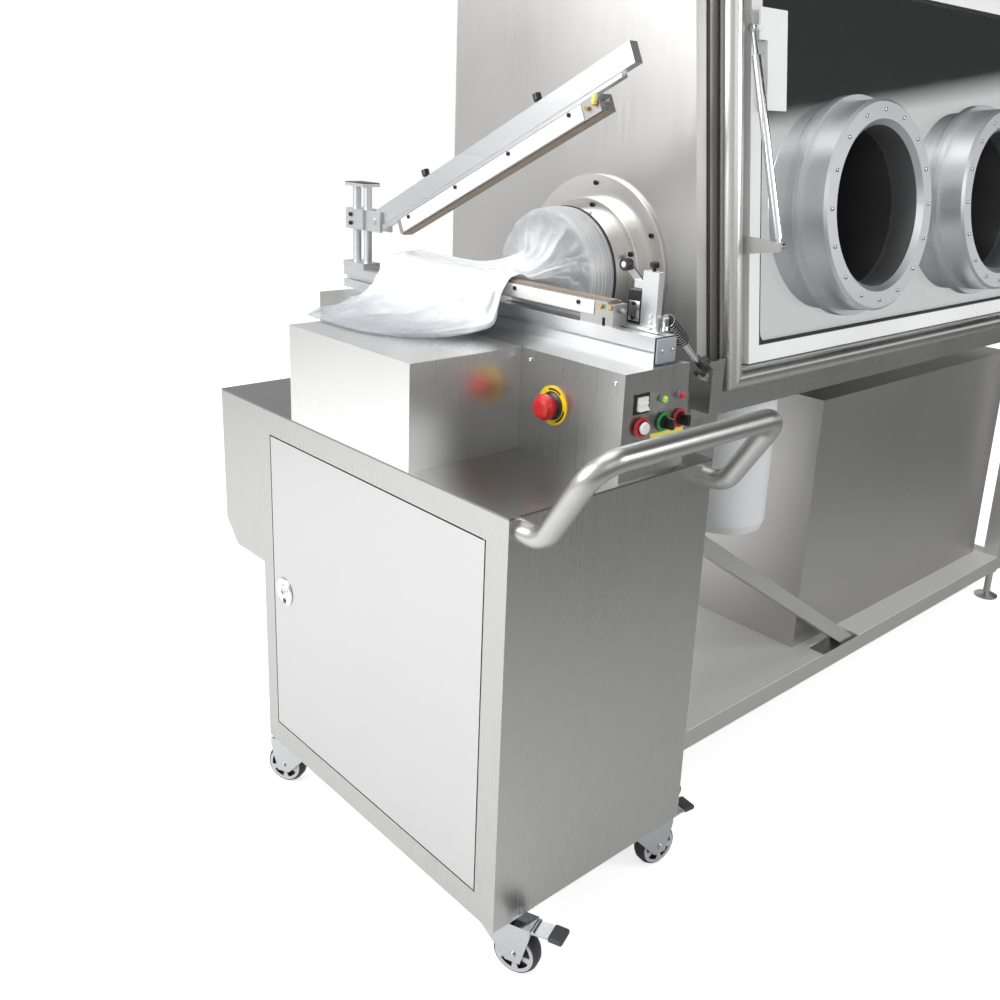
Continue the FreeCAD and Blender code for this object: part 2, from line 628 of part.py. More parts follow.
# Slotted aluminium bar with T slots on its left face and its top.
def slotted_section(width, height, left_slots, top_slots):
    """Corner points (across, up) of a slotted bar's section."""
    mouth = S.slot_mouth / 2
    inner = S.slot_inner / 2
    lip = S.slot_lip
    deep = S.slot_depth
    points = [(0, 0), (width, 0), (width, height)]
    for middle in top_slots:
        points.extend([
            (middle + mouth, height), (middle + mouth, height - lip), (middle + inner, height - lip),
            (middle + inner, height - deep), (middle - inner, height - deep),
            (middle - inner, height - lip), (middle - mouth, height - lip), (middle - mouth, height)])
    points.append((0, height))
    for middle in left_slots:
        points.extend([
            (0, middle + mouth), (lip, middle + mouth), (lip, middle + inner), (deep, middle + inner),
            (deep, middle - inner), (lip, middle - inner), (lip, middle - mouth), (0, middle - mouth)])
    return points


def base_bar():
    section = slotted_section(S.bar_width, S.bar_height, [S.bar_height / 2], [S.bar_width / 2])
    bar = pad("bar_profile", "XZ_Plane", section, S.bar_far - S.bar_near, reverse=True)
    return sub_part("base_bar", bar, S.bar_left, S.bar_near, HOUSING_TOP)


# Lower jaw: a channel on feet, with an end bracket and a terminal at the near end.
def lower_jaw():
    left = S.jaw_axis - S.jaw_width / 2
    wall = S.fork_sheet
    body = box("jaw_body", left, S.jaw_near, JAW_BOTTOM, S.jaw_width, S.jaw_length, S.jaw_height)
    hollow = box("jaw_hollow", left + wall, S.jaw_near - wall, JAW_BOTTOM - wall,
                 S.jaw_width - 2 * wall, S.jaw_length + 2 * wall, S.jaw_height - wall)
    pieces = [cut("jaw_channel", body, hollow)]
    for number, fraction in enumerate((0.06, 0.5, 0.94)):
        middle = S.jaw_near + S.jaw_length * fraction
        pieces.append(box("jaw_foot_%d" % number, left, middle - S.foot_length / 2, BAR_TOP,
                          S.jaw_width, S.foot_length, S.jaw_lift + S.jaw_height / 2))
    bracket = box("end_bracket", left, S.jaw_near - S.latch_thickness, BAR_TOP,
                  S.jaw_width, S.latch_thickness + wall, S.jaw_lift + S.jaw_height - wall)
    terminal = rod("terminal", S.jaw_axis, S.jaw_near - S.latch_thickness - S.roller_radius,
                   JAW_BOTTOM + S.jaw_height / 2, S.stud_radius, S.roller_radius + wall, "+Y")
    return sub_part("lower_jaw", fuse("jaw_with_feet", *pieces, bracket, terminal), 0, 0, 0)


def lower_sealing_strip():
    strip = box("lower_strip", S.jaw_axis - S.strip_width / 2, S.jaw_near, JAW_TOP,
                S.strip_width, S.jaw_length, S.strip_thickness)
    return sub_part("lower_sealing_strip", strip, 0, 0, 0)


# Twin-rod post on the far end of the bar, with a foot and a cap plate.
def pivot_post():
    half = S.post_plate / 2
    pieces = []
    for name, y in (("near_rod", S.post_near_axis), ("far_rod", S.post_far_axis)):
        pieces.append(rod(name, S.jaw_axis, y, BAR_TOP + S.cap_thickness / 2, S.post_radius,
                          POST_TOP - BAR_TOP - S.cap_thickness, "+Z"))
    plate_near = (S.post_near_axis + S.post_far_axis - S.cap_length) / 2
    foot = box("post_foot", S.jaw_axis - half, plate_near, BAR_TOP, S.post_plate,
               S.cap_length / 2 + S.bar_far - (S.post_near_axis + S.post_far_axis) / 2, 2 * S.cap_thickness)
    cap = box("post_cap", S.jaw_axis - half, plate_near, POST_TOP - S.cap_thickness,
              S.post_plate, S.cap_length, S.cap_thickness)
    return sub_part("pivot_post", fuse("post_frame", foot, cap, *pieces), 0, 0, 0)


# Clamp block on the rods, with two ears and the pressed pin that carries the arm.
def pivot_clamp():
    far = S.post_far_axis + S.post_radius + S.clamp_wall
    near = far - S.clamp_length
    ear = S.arm_width / 2 + S.ear_gap
    low = PIVOT_Z - S.clamp_height / 2
    block = box("clamp_block", S.jaw_axis - S.post_plate / 2, near, low, S.post_plate,
                S.clamp_length, S.clamp_height)
    bores = []
    for name, y in (("near_bore", S.post_near_axis), ("far_bore", S.post_far_axis)):
        bores.append(rod(name, S.jaw_axis, y, low - S.sheet, S.post_radius,
                         S.clamp_height + 2 * S.sheet))
    ears = []
    for name, x in (("left_ear", S.jaw_axis - ear - S.ear_thickness), ("right_ear", S.jaw_axis + ear)):
        ears.append(box(name, x, S.pivot_from_near - S.clamp_height / 2, low, S.ear_thickness,
                        near - S.pivot_from_near + S.clamp_height / 2 + S.ear_thickness, S.clamp_height))
    pin_hole = rod("pin_hole", S.jaw_axis - 2 * ear, S.pivot_from_near, PIVOT_Z, S.pin_radius,
                   4 * ear, "+X")
    clamp = cut("clamp", fuse("clamp_with_ears", block, *ears), *bores, pin_hole)
    pin = rod("pivot_pin", S.jaw_axis - ear - S.ear_thickness - S.fork_sheet, S.pivot_from_near, PIVOT_Z,
              S.pin_radius, 2 * (ear + S.ear_thickness + S.fork_sheet), "+X")
    return sub_part("pivot_clamp", group("clamp_with_pin", clamp, pin), 0, 0, 0)


# Arm pieces are built level with the pivot at their origin, then raised together.
ARM_SEAT = (S.jaw_axis, S.pivot_from_near, PIVOT_Z)
JAW_SET_BACK = S.pivot_from_near - S.jaw_near - S.jaw_length
UPPER_STRIP_LOW = STRIP_TOP + S.running_gap + S.jaw_drop - PIVOT_Z
UPPER_JAW_LOW = UPPER_STRIP_LOW + S.strip_thickness
UPPER_JAW_TOP = UPPER_JAW_LOW + S.upper_jaw_height
ARM_LOW = S.arm_top - S.arm_height


def raised(label, thing):
    return sub_part(label, thing, *ARM_SEAT, axis=(1, 0, 0), angle=-S.arm_raise)


def upper_arm():
    """Flat bar with a narrower rail under it, bored for the pivot and the guide pins."""
    flat = box("arm_flat", -S.arm_width / 2, -S.arm_reach, ARM_LOW, S.arm_width,
               S.arm_reach + S.arm_heel, S.arm_height)
    rail_far = -JAW_SET_BACK + S.guide_far / 2
    rail_near = S.rail_set_back - S.arm_reach
    rail = box("arm_rail", -S.rail_width / 2, rail_near, ARM_LOW - S.rail_height, S.rail_width,
               rail_far - rail_near, S.rail_height + S.sheet)
    bore = rod("arm_bore", -S.arm_width, 0, 0, S.pin_radius + S.bore_clearance, 2 * S.arm_width, "+X")
    guides = []
    for name, y in GUIDES:
        guides.append(rod(name + "_bore", 0, y, -S.arm_height, S.guide_pin_radius + S.bore_clearance,
                          2 * S.arm_height))
    return raised("upper_arm", cut("arm_bar", fuse("arm_with_rail", flat, rail), bore, *guides))


GUIDES = (
    ("far_guide", -JAW_SET_BACK - S.guide_far),
    ("near_guide", -JAW_SET_BACK - S.jaw_length + S.guide_near),
)


def arm_guide_pins():
    pieces = []
    knob_low = S.arm_top + S.jaw_drop + S.touch_gap
    for name, y in GUIDES:
        shank = rod(name + "_shank", 0, y, UPPER_JAW_TOP, S.guide_pin_radius,
                    knob_low - UPPER_JAW_TOP + S.guide_knob_height / 2)
        knob = rod(name + "_knob", 0, y, knob_low, S.guide_knob_radius, S.guide_knob_height)
        pieces.append(fuse(name + "_pin", shank, knob))
    return raised("arm_guide_pins", group("guide_pins", *pieces))


def upper_jaw():
    wall = S.fork_sheet
    body = box("upper_body", -S.jaw_width / 2, -JAW_SET_BACK - S.jaw_length, UPPER_JAW_LOW,
               S.jaw_width, S.jaw_length, S.upper_jaw_height)
    hollow = box("upper_hollow", -S.jaw_width / 2 + wall, -JAW_SET_BACK - S.jaw_length - wall,
                 UPPER_JAW_LOW + wall, S.jaw_width - 2 * wall, S.jaw_length + 2 * wall,
                 S.upper_jaw_height - 2 * wall)
    terminal = rod("upper_terminal", 0, -JAW_SET_BACK - S.jaw_length - S.roller_radius,
                   UPPER_JAW_LOW + S.upper_jaw_height / 2, S.stud_radius, S.roller_radius + wall, "+Y")
    plate = box("upper_end_plate", -S.jaw_width / 2, -JAW_SET_BACK - S.jaw_length, UPPER_JAW_LOW,
                S.jaw_width, wall, S.upper_jaw_height)
    return raised("upper_jaw", fuse("upper_jaw_body", cut("upper_channel", body, hollow), plate, terminal))


def upper_sealing_strip():
    strip = box("upper_strip", -S.strip_width / 2, -JAW_SET_BACK - S.jaw_length, UPPER_STRIP_LOW,
                S.strip_width, S.jaw_length, S.strip_thickness)
    return raised("upper_sealing_strip", strip)


# Latch post with its foot, the roller lever beside it and the switch below.
def latch_post():
    foot_left = S.jaw_axis + S.jaw_width / 2 + S.plate_thickness
    foot = box("latch_foot", foot_left, S.latch_near, BAR_TOP,
               S.latch_left + S.latch_thickness - foot_left,
               S.latch_width + S.switch_gap + S.switch_length, S.fork_sheet)
    post = box("latch_upright", S.latch_left, S.latch_near, BAR_TOP, S.latch_thickness,
               S.latch_width, LATCH_TOP - BAR_TOP)
    ear_y = S.lever_pivot_y - S.lever_width / 2
    ear = box("lever_ear", S.latch_left, S.latch_near, LEVER_Z - S.lever_width / 2,
              S.latch_thickness / 2, ear_y - S.latch_near + S.lever_width, S.lever_width)
    pin = rod("lever_pin", S.latch_left, S.lever_pivot_y, LEVER_Z, S.stud_radius / 2,
              S.latch_thickness / 2 + S.lever_thickness + 2 * S.running_gap, "+X")
    return sub_part("latch_post", fuse("latch_frame", foot, post, ear, pin), 0, 0, 0)


def latch_lever():
    t = S.lever_thickness
    arm = box("lever_bar", 0, -S.lever_width / 2, -S.lever_width / 2, t,
              S.lever_length + S.lever_width / 2, S.lever_width)
    bore = rod("lever_bore", -t, 0, 0, S.stud_radius / 2 + S.bore_clearance, 3 * t, "+X")
    roller = rod("roller", -2 * t, S.lever_length, 0, S.roller_radius, 3 * t, "+X")
    lever = fuse("lever_with_roller", cut("bored_lever", arm, bore), roller)
    return sub_part("latch_lever", lever, S.latch_left + S.latch_thickness / 2 + S.running_gap,
                    S.lever_pivot_y, LEVER_Z, (1, 0, 0), S.lever_angle)


def limit_switch():
    case = box("switch_case", S.latch_left, S.latch_near + S.latch_width + S.switch_gap,
               BAR_TOP + S.fork_sheet, S.latch_thickness, S.switch_length, S.switch_height)
    return sub_part("limit_switch", case, 0, 0, 0)


# Docking rod: from a lug on the bar's near end down to the isolator's slotted bracket.
ROD_RUN_X = S.rod_end_x - S.rod_start_x
ROD_RUN_Y = S.rod_end_y - S.rod_start_y
ROD_RUN_Z = ROD_START_Z - ROD_END_Z


def docking_rod():
    start = FreeCAD.Vector(S.rod_start_x.number, S.rod_start_y.number, ROD_START_Z.number)
    end = FreeCAD.Vector(S.rod_end_x.number, S.rod_end_y.number, ROD_END_Z.number)
    run = end - start
    heading = FreeCAD.Vector(run).normalize()
    bar = Part.makeCylinder(S.rod_radius.number, run.Length, start, heading)
    grip = Part.makeCylinder(S.grip_radius.number, S.grip_length.number,
                             start + heading * S.grip_radius.number, heading)
    lug_length = S.rod_start_x.number - S.bar_left.number - S.bar_width.number / 2
    lug = Part.makeBox(lug_length, 2 * S.grip_radius.number, S.fork_sheet.number,
                       FreeCAD.Vector(S.bar_left.number + S.bar_width.number / 2,
                                      S.rod_start_y.number - 2 * S.grip_radius.number, BAR_TOP.number))
    stand = Part.makeCylinder(S.rod_radius.number, ROD_START_Z.number - BAR_TOP.number,
                              FreeCAD.Vector(start.x - S.rod_radius.number, start.y - S.rod_radius.number,
                                             BAR_TOP.number))
    rod_feature = doc.addObject("Part::Feature", "docking_rod_shape")
    rod_feature.Shape = bar.fuse([grip, lug, stand]).removeSplitter()
    return sub_part("docking_rod", rod_feature, 0, 0, 0)


# Star knob that screws along the rod against the bracket.
def docking_knob():
    start = FreeCAD.Vector(S.rod_start_x.number, S.rod_start_y.number, ROD_START_Z.number)
    end = FreeCAD.Vector(S.rod_end_x.number, S.rod_end_y.number, ROD_END_Z.number)
    heading = (end - start).normalize()
    high = S.star_knob_height.number
    radius = S.star_knob_radius.number
    base = end - heading * S.knob_from_end.number
    side = heading.cross(FreeCAD.Vector(0, 0, 1)).normalize()
    body = Part.makeCylinder(radius * 0.75, high, base, heading)
    lobes = []
    for number in range(6):
        spin = FreeCAD.Rotation(heading, number * 60.0)
        lobes.append(Part.makeCylinder(radius * 0.3, high, base + spin.multVec(side) * (radius * 0.7),
                                       heading))
    bore = Part.makeCylinder(S.rod_radius.number + S.bore_clearance.number, high * 2,
                             base - heading * (high / 2), heading)
    feature = doc.addObject("Part::Feature", "docking_knob_shape")
    feature.Shape = body.fuse(lobes).cut(bore).removeSplitter()
    return sub_part("docking_knob", feature, 0, 0, 0)


# Emergency stop: a round plate on the housing and a mushroom head with its stem.
def emergency_stop_plate():
    plate = turned("stop_plate", [
        (S.stop_stem_radius + S.control_clearance, 0), (S.stop_plate_radius, 0),
        (S.stop_plate_radius, S.plate_thickness), (S.stop_stem_radius + S.control_clearance, S.plate_thickness)],
        "-X")
    return sub_part("emergency_stop_plate", plate, S.step_depth, S.stop_y, STOP_Z)


def emergency_stop_button():
    low = S.plate_thickness + S.stop_travel + S.running_gap
    head = S.stop_head_radius
    high = low + S.stop_head_height
    button = turned("stop_button", [
        (0, -S.shank_length), (S.stop_stem_radius, -S.shank_length), (S.stop_stem_radius, low),
        (head * 0.8, low), (head, low + S.stop_head_height * 0.4), (head, low + S.stop_head_height * 0.6),
        (head * 0.8, high - S.stop_head_height * 0.1), (head * 0.5, high), (0, high)], "-X")
    return sub_part("emergency_stop_button", button, S.step_depth, S.stop_y, STOP_Z)


# Control panel on the operator's face of the housing.
def rocker_switch():
    gap = S.rocker_side / 2 - S.sheet
    half = gap - S.sheet * 0.7
    width = 2 * (gap - S.touch_gap)
    key = pad("rocker_key", "YZ_Plane", [
        (-S.sheet * 3, -half), (-S.sheet, -half / 2), (-S.sheet, half), (S.sheet * 2, half),
        (S.sheet * 2, -half)], width, midplane=True)
    pivot = rod("rocker_pivot", -width / 2, 0, 0, S.sheet * 1.5, width, "+X")
    rocker = fuse("rocker", key, pivot)
    return sub_part("rocker_switch", rocker, S.rocker_x, S.housing_near - S.sheet, ROCKER_Z)


def pilot_lamps():
    lamps = []
    for name, x in (("green_lamp", S.lamp_green_x), ("red_lamp", S.lamp_red_x)):
        lens = turned(name, [
            (0, 0), (S.lamp_radius, 0), (S.lamp_radius, S.sheet), (S.lamp_radius * 0.7, S.sheet * 2.5),
            (0, S.sheet * 3)], "-Y")
        lamps.append(place(lens, x, S.housing_near, LAMP_Z, (1, 0, 0), 90))
    return sub_part("pilot_lamps", group("lamps", *lamps), 0, 0, 0)


def selector(name, x):
    """Round knob with a raised grip bar and a shank through the panel."""
    low = S.bezel_height + S.control_clearance
    skirt = rod(name + "_skirt", 0, 0, low, S.selector_radius, S.selector_height / 3)
    grip = box(name + "_grip", -S.selector_radius / 3, -S.selector_radius * 0.9, low,
               S.selector_radius * 2 / 3, S.selector_radius * 1.8, S.selector_height)
    shank = rod(name + "_shank", 0, 0, -S.shank_length, S.shank_radius, S.shank_length + low + 1)
    return sub_part(name, fuse(name + "_knob", skirt, grip, shank), x, S.housing_near, SELECTOR_Z,
                    (1, 0, 0), 90)


def seal_button():
    low = S.bezel_height + S.control_clearance
    button = turned("button_cap", [
        (0, -S.shank_length), (S.shank_radius, -S.shank_length), (S.shank_radius, low + S.stop_travel),
        (S.button_radius, low + S.stop_travel), (S.button_radius, low + S.stop_travel + S.sheet),
        (S.button_radius - S.sheet / 2, low + S.stop_travel + 2 * S.sheet), (0, low + S.stop_travel + 2 * S.sheet)],
        "-Y")
    return sub_part("seal_button", button, S.button_x, S.housing_near, SELECTOR_Z)


def panel_bezels():
    rings = []
    inner = S.shank_radius + S.control_clearance
    for name, x in (("green_bezel", S.selector_green_x), ("red_bezel", S.selector_red_x),
                    ("button_bezel", S.button_x)):
        ring = turned(name, [
            (inner, 0), (S.bezel_radius, 0), (S.bezel_radius, S.bezel_height / 2),
            (S.bezel_radius - S.bezel_height / 2, S.bezel_height), (inner, S.bezel_height)], "-Y")
        rings.append(place(ring, x, S.housing_near, SELECTOR_Z, (1, 0, 0), 90))
    half = S.rocker_side / 2
    frame = box("rocker_frame_outside", S.rocker_x - half - S.sheet, S.housing_near - S.sheet,
                ROCKER_Z - half - S.sheet, S.rocker_side + 2 * S.sheet, S.sheet,
                S.rocker_side + 2 * S.sheet)
    gap = half - S.sheet
    window = box("rocker_frame_window", S.rocker_x - gap, S.housing_near - 2 * S.sheet,
                 ROCKER_Z - gap, 2 * gap, 3 * S.sheet, 2 * gap)
    return sub_part("panel_bezels", group("bezels", *rings, cut("rocker_frame", frame, window)), 0, 0, 0)


# Transformer of the sealing bands, standing on the cabinet's floor.
def impulse_transformer():
    low = S.castor_height + S.sheet
    x = S.cabinet_width - S.sheet - S.transformer_width - S.coil_swell * 3
    y = S.cabinet_depth / 2
    limb = S.transformer_width / 5
    outside = box("core_outside", x, y, low, S.transformer_width, S.transformer_length, S.transformer_height)
    windows = []
    for number in range(2):
        windows.append(box("core_window_%d" % number, x - limb, y + limb + number * (S.transformer_length - limb) / 2,
                           low + limb, S.transformer_width + 2 * limb, (S.transformer_length - 3 * limb) / 2,
                           S.transformer_height - 2 * limb))
    core = cut("core", outside, *windows)
    middle = y + (S.transformer_length - limb) / 2
    coil = box("coil", x - S.coil_swell, middle - S.coil_swell, low + limb + 1,
               S.transformer_width + 2 * S.coil_swell, limb + 2 * S.coil_swell,
               S.transformer_height - 2 * limb - 2)
    return sub_part("impulse_transformer", fuse("transformer", core, coil), 0, 0, 0)


# Isolator chamber: a sheet shell with a slanted front, cut for window, bag port and filters.
SLANT = tangent(S.front_tilt)
CHAMBER_RIGHT = S.chamber_left + S.chamber_width
FRONT_SEAT = (S.chamber_left, S.front_bottom, S.chamber_bottom)
CHAMBER_TOP = S.chamber_bottom + S.chamber_height


def tilted(thing, x=0, y=0, z=0):
    """Seat a tool in the slanted frame of the front: x across, y inward, z up the slope."""
    place(thing, S.chamber_left + x,
          S.front_bottom + y * cosine(S.front_tilt) + z * sine(S.front_tilt),
          S.chamber_bottom + z * cosine(S.front_tilt) - y * sine(S.front_tilt),
          (1, 0, 0), -S.front_tilt)
    return thing


def fronted(label, thing):
    """Name a piece that was built in the slanted frame of the front."""
    return sub_part(label, thing, *FRONT_SEAT, axis=(1, 0, 0), angle=-S.front_tilt)


def chamber_shell():
    t = S.wall
    high = S.chamber_height
    outside = pad("chamber_outside", "YZ_Plane", [
        (0, 0), (S.rear - S.front_bottom, 0), (S.rear - S.front_bottom, high),
        (SLANT * high, high)], S.chamber_width)
    inside = pad("chamber_inside", "YZ_Plane", [
        (t + SLANT * t, t), (S.rear - S.front_bottom - t, t), (S.rear - S.front_bottom - t, high - t),
        (SLANT * (high - t) + t, high - t)], S.chamber_width - 2 * t)
    place(outside, *FRONT_SEAT)
    place(inside, S.chamber_left + t, S.front_bottom, S.chamber_bottom)
    opening = tilted(box("front_opening", 0, 0, 0, S.chamber_width - 2 * S.opening_side, 20 * t,
                         S.opening_top - S.opening_low), S.opening_side, -10 * t, S.opening_low)
    port = rod("port_hole", S.chamber_left - t, S.bag_port_y, BAG_PORT_Z, S.collar_radius,
               3 * t, "+X")
    holes = []
    for name, x in FILTERS:
        holes.append(rod(name + "_hole", x, FILTER_Y, CHAMBER_TOP - 2 * t, S.filter_radius * 0.7, 3 * t))
    holes.append(rod("waste_hole", S.bin_x, S.bin_y, S.chamber_bottom - t, S.bin_radius * 0.8, 3 * t))
    return sub_part("chamber_shell", cut("chamber", outside, inside, opening, port, *holes), 0, 0, 0)


FILTER_Y = (S.rear + S.front_bottom + SLANT * S.chamber_height) / 2
FILTERS = (
    ("inlet_filter", S.chamber_left + S.filter_from_side),
    ("exhaust_filter", S.chamber_left + S.chamber_width - S.filter_from_side),
)


def filter_housings():
    pieces = []
    r = S.filter_radius
    s = S.spigot_radius
    high = S.filter_height
    for name, x in FILTERS:
        can = turned(name, [
            (0, 0), (r, 0), (r, high - r / 5), (r * 0.8, high), (s, high), (s, high + S.spigot_height),
            (s - S.wall, high + S.spigot_height), (s - S.wall, high - S.wall), (0, high - S.wall)])
        pieces.append(place(can, x, FILTER_Y, CHAMBER_TOP))
    return sub_part("filter_housings", group("filters", *pieces), 0, 0, 0)


# Round tube mitred round the window, with hinge lugs above and a strut plate at each side.
# Strut plates and studs stand level, so they are turned back against the slant of the front.
STRUTS = (
    ("left", S.strut_x, 1),
    ("right", 2 * S.chamber_left + S.chamber_width - S.strut_x, -1),
)
HINGES = (
    ("left_hinge", S.hinge_from_side),
    ("right_hinge", S.chamber_width - S.hinge_from_side),
)


def level_in_front(thing, x, y, z):
    """Seat a level piece, given in the common frame, inside the slanted frame of the front."""
    across = x - S.chamber_left
    inward = y - S.front_bottom
    up = z - S.chamber_bottom
    place(thing, across, inward * cosine(S.front_tilt) - up * sine(S.front_tilt),
          up * cosine(S.front_tilt) + inward * sine(S.front_tilt), (1, 0, 0), S.front_tilt)
    return thing


def strut_plate(name, strut_x, side):
    """Tapered plate beside the tube, with the stud and nut that hold the strut's eye."""
    tube_front = S.front_bottom + SLANT * (STRUT_FOOT_Z - S.chamber_bottom) - S.front_tube_radius
    outer = S.strut_foot_y - 2 * S.strut_ball
    eye = S.strut_eye / 2 + S.running_gap
    plate_x = S.chamber_left + S.front_tube_inset + S.front_tube_radius - S.strut_plate / 2
    plate_face = plate_x + S.strut_plate
    if side < 0:
        plate_x = 2 * S.chamber_left + S.chamber_width - plate_face
        plate_face = plate_x
    depth = tube_front - outer
    plate = pad(name + "_strut_plate", "YZ_Plane", [
        (0, 2 * S.strut_ball), (depth, 0), (depth, 5 * S.strut_ball), (0, 4 * S.strut_ball)],
        S.strut_plate)
    place(plate, plate_x, outer, STRUT_FOOT_Z - 3 * S.strut_ball)
    toward = "+X" if side > 0 else "-X"
    reach = (strut_x - plate_face) * side + eye
    stud = rod(name + "_strut_stud", plate_face - side * S.strut_plate / 2, S.strut_foot_y,
               STRUT_FOOT_Z, S.stud_radius, reach + S.strut_plate / 2 + S.strut_nut, toward)
    nut = rod(name + "_strut_nut", strut_x + side * eye, S.strut_foot_y, STRUT_FOOT_Z,
              S.strut_ball, S.strut_nut, toward)
    collar_reach = (strut_x - plate_face) * side - eye
    spacer = rod(name + "_strut_spacer", plate_face, S.strut_foot_y, STRUT_FOOT_Z, S.strut_ball,
                 collar_reach, toward)
    return fuse(name + "_strut_mount", plate, stud, nut, spacer)


def front_tube_frame():
    r = S.front_tube_radius
    left = S.front_tube_inset.number
    right = S.chamber_width.number - left
    low = S.front_tube_low.number
    top = S.front_tube_top.number
    middle = (left + right) / 2
    corners = [(middle, low), (right, low), (right, top), (left, top), (left, low), (middle, low)]
    path = Part.makePolygon([FreeCAD.Vector(x, -r.number, z) for x, z in corners])
    ring = doc.addObject("Part::Feature", "tube_ring")
    ring.Shape = tube_shape(path, r.number, 1)
    pieces = [ring]
    for name, x in HINGES:
        gap = S.knuckle_length / 2 + S.running_gap
        lug_low = S.hinge_up - S.knuckle_radius
        for side, near in (("a", x - gap - S.lug_thickness), ("b", x + gap)):
            pieces.append(box(name + "_lug_" + side, near, -S.hinge_out - S.knuckle_radius, lug_low,
                              S.lug_thickness, 2 * S.knuckle_radius - S.sash_gap,
                              S.front_tube_top - r - lug_low + S.knuckle_radius))
        pieces.append(rod(name + "_pin", x - gap - S.lug_thickness / 2, -S.hinge_out, S.hinge_up,
                          S.strut_rod_radius, 2 * gap + S.lug_thickness, "+X"))
    for name, x, side in STRUTS:
        pieces.append(level_in_front(strut_plate(name, x, side), 0, 0, 0))
    return fronted("front_tube_frame", fuse("tube_frame", *pieces))


# Window sash: a frame with a rebate for the glass, hinge knuckles and L-shaped strut brackets.
SASH_FRONT = -S.sash_gap - S.sash_thickness
GLASS_FRONT = -S.sash_gap - (S.sash_thickness + S.glass_thickness) / 2


def window_sash():
    wide = S.chamber_width - 2 * S.sash_side
    high = S.sash_top - S.sash_low
    frame = box("sash_outside", S.sash_side, SASH_FRONT, S.sash_low, wide, S.sash_thickness, high)
    view = box("sash_view", S.sash_side + S.sash_stile, 2 * SASH_FRONT, S.sash_low + S.sash_rail,
               wide - 2 * S.sash_stile, 3 * S.sash_thickness, high - 2 * S.sash_rail)
    lap = S.glass_lap
    rebate = box("sash_rebate", S.sash_side + S.sash_stile - lap, GLASS_FRONT,
                 S.sash_low + S.sash_rail - lap, wide - 2 * S.sash_stile + 2 * lap,
                 S.glass_thickness, high - 2 * S.sash_rail + 2 * lap)
    pieces = [cut("sash_frame", frame, view, rebate)]
    bores = []
    for name, x in HINGES:
        pieces.append(rod(name + "_knuckle", x - S.knuckle_length / 2, -S.hinge_out, S.hinge_up,
                          S.knuckle_radius, S.knuckle_length, "+X"))
        pieces.append(box(name + "_leaf", x - S.knuckle_length / 2, -S.hinge_out - S.sheet,
                          S.sash_top - S.knuckle_length, S.knuckle_length,
                          S.hinge_out + S.sheet + SASH_FRONT + S.sheet,
                          S.hinge_up - S.sash_top + S.knuckle_length))
        bores.append(rod(name + "_bore", x - S.knuckle_length, -S.hinge_out, S.hinge_up,
                         S.strut_rod_radius + S.bore_clearance, 2 * S.knuckle_length, "+X"))
    for name, strut_x, side in STRUTS:
        pieces.append(strut_bracket(name, strut_x, side))
    return fronted("window_sash", cut("sash", fuse("sash_with_knuckles", *pieces), *bores))


def strut_bracket(name, strut_x, side):
    """L-shaped plate held off the sash by a flange, with a stud that points at the strut's head."""
    t = S.lug_thickness
    face = SASH_FRONT - S.bracket_out
    near = S.bracket_left
    plate = pad(name + "_bracket", "XZ_Plane", [
        (S.bracket_arm - S.bracket_leg, S.bracket_low), (S.bracket_arm, S.bracket_low),
        (S.bracket_arm, S.bracket_high), (0, S.bracket_high), (0, S.bracket_notch),
        (S.bracket_arm - S.bracket_leg, S.bracket_notch)], t, reverse=True)
    place(plate, near, face, 0)
    flange = box(name + "_flange", near + S.bracket_arm - S.bracket_leg, face, S.bracket_low, t,
                 S.bracket_out, S.bracket_notch - S.bracket_low)
    head_z = (STRUT_HEAD_Z - S.chamber_bottom) * cosine(S.front_tilt) \
        + (S.strut_head_y - S.front_bottom) * sine(S.front_tilt)
    stud_start = S.strut_x - S.chamber_left + S.strut_eye / 2 + S.running_gap
    stud = rod(name + "_bracket_stud", stud_start, face + t / 2 + S.sheet / 2, head_z, S.stud_radius,
               near + S.knuckle_length / 2 - stud_start, "+X")
    whole = fuse(name + "_strut_bracket", plate, flange, stud)
    if side > 0:
        return whole
    mirrored = doc.addObject("Part::Mirroring", name + "_mirrored")
    mirrored.Source = whole
    mirrored.Normal = FreeCAD.Vector(1, 0, 0)
    mirrored.Base = FreeCAD.Vector(S.chamber_width.number / 2, 0, 0)
    mirrored.setExpression(".Base.x", (S.chamber_width / 2).text)
    return mirrored


PORTS = (
    ("left_port", S.port_x),
    ("right_port", S.chamber_width - S.port_x),
)


def window_glass():
    lap = S.glass_lap
    wide = S.chamber_width - 2 * S.sash_side - 2 * S.sash_stile + 2 * lap
    high = S.sash_top - S.sash_low - 2 * S.sash_rail + 2 * lap
    pane = box("pane", S.sash_side + S.sash_stile - lap, GLASS_FRONT, S.sash_low + S.sash_rail - lap,
               wide, S.glass_thickness, high)
    holes = [rod(name + "_hole", x, -S.port_drum, S.port_up, S.port_neck, 2 * S.port_drum, "+Y")
             for name, x in PORTS]
    return fronted("window_glass", cut("glass", pane, *holes))


# Glove ports: a seat ring on the glass, a drum toward the operator and a neck through the glass.
def glove_port_rings():
    rings = []
    inside = -S.glass_thickness - S.port_inside
    bevel = S.port_seat
    for name, x in PORTS:
        ring = turned(name + "_ring", [
            (S.port_bore, inside), (S.port_neck, inside), (S.port_neck, 0), (S.port_outer, 0),
            (S.port_outer, S.port_seat), (S.port_drum + 1, S.port_seat),
            (S.port_drum, S.port_stand - bevel / 2), (S.port_drum - bevel / 2, S.port_stand),
            (S.port_bore + bevel, S.port_stand), (S.port_bore, S.port_stand - bevel)], "-Y")
        rings.append(place(ring, x, GLASS_FRONT, S.port_up, (1, 0, 0), 90))
    return fronted("glove_port_rings", group("port_rings", *rings))


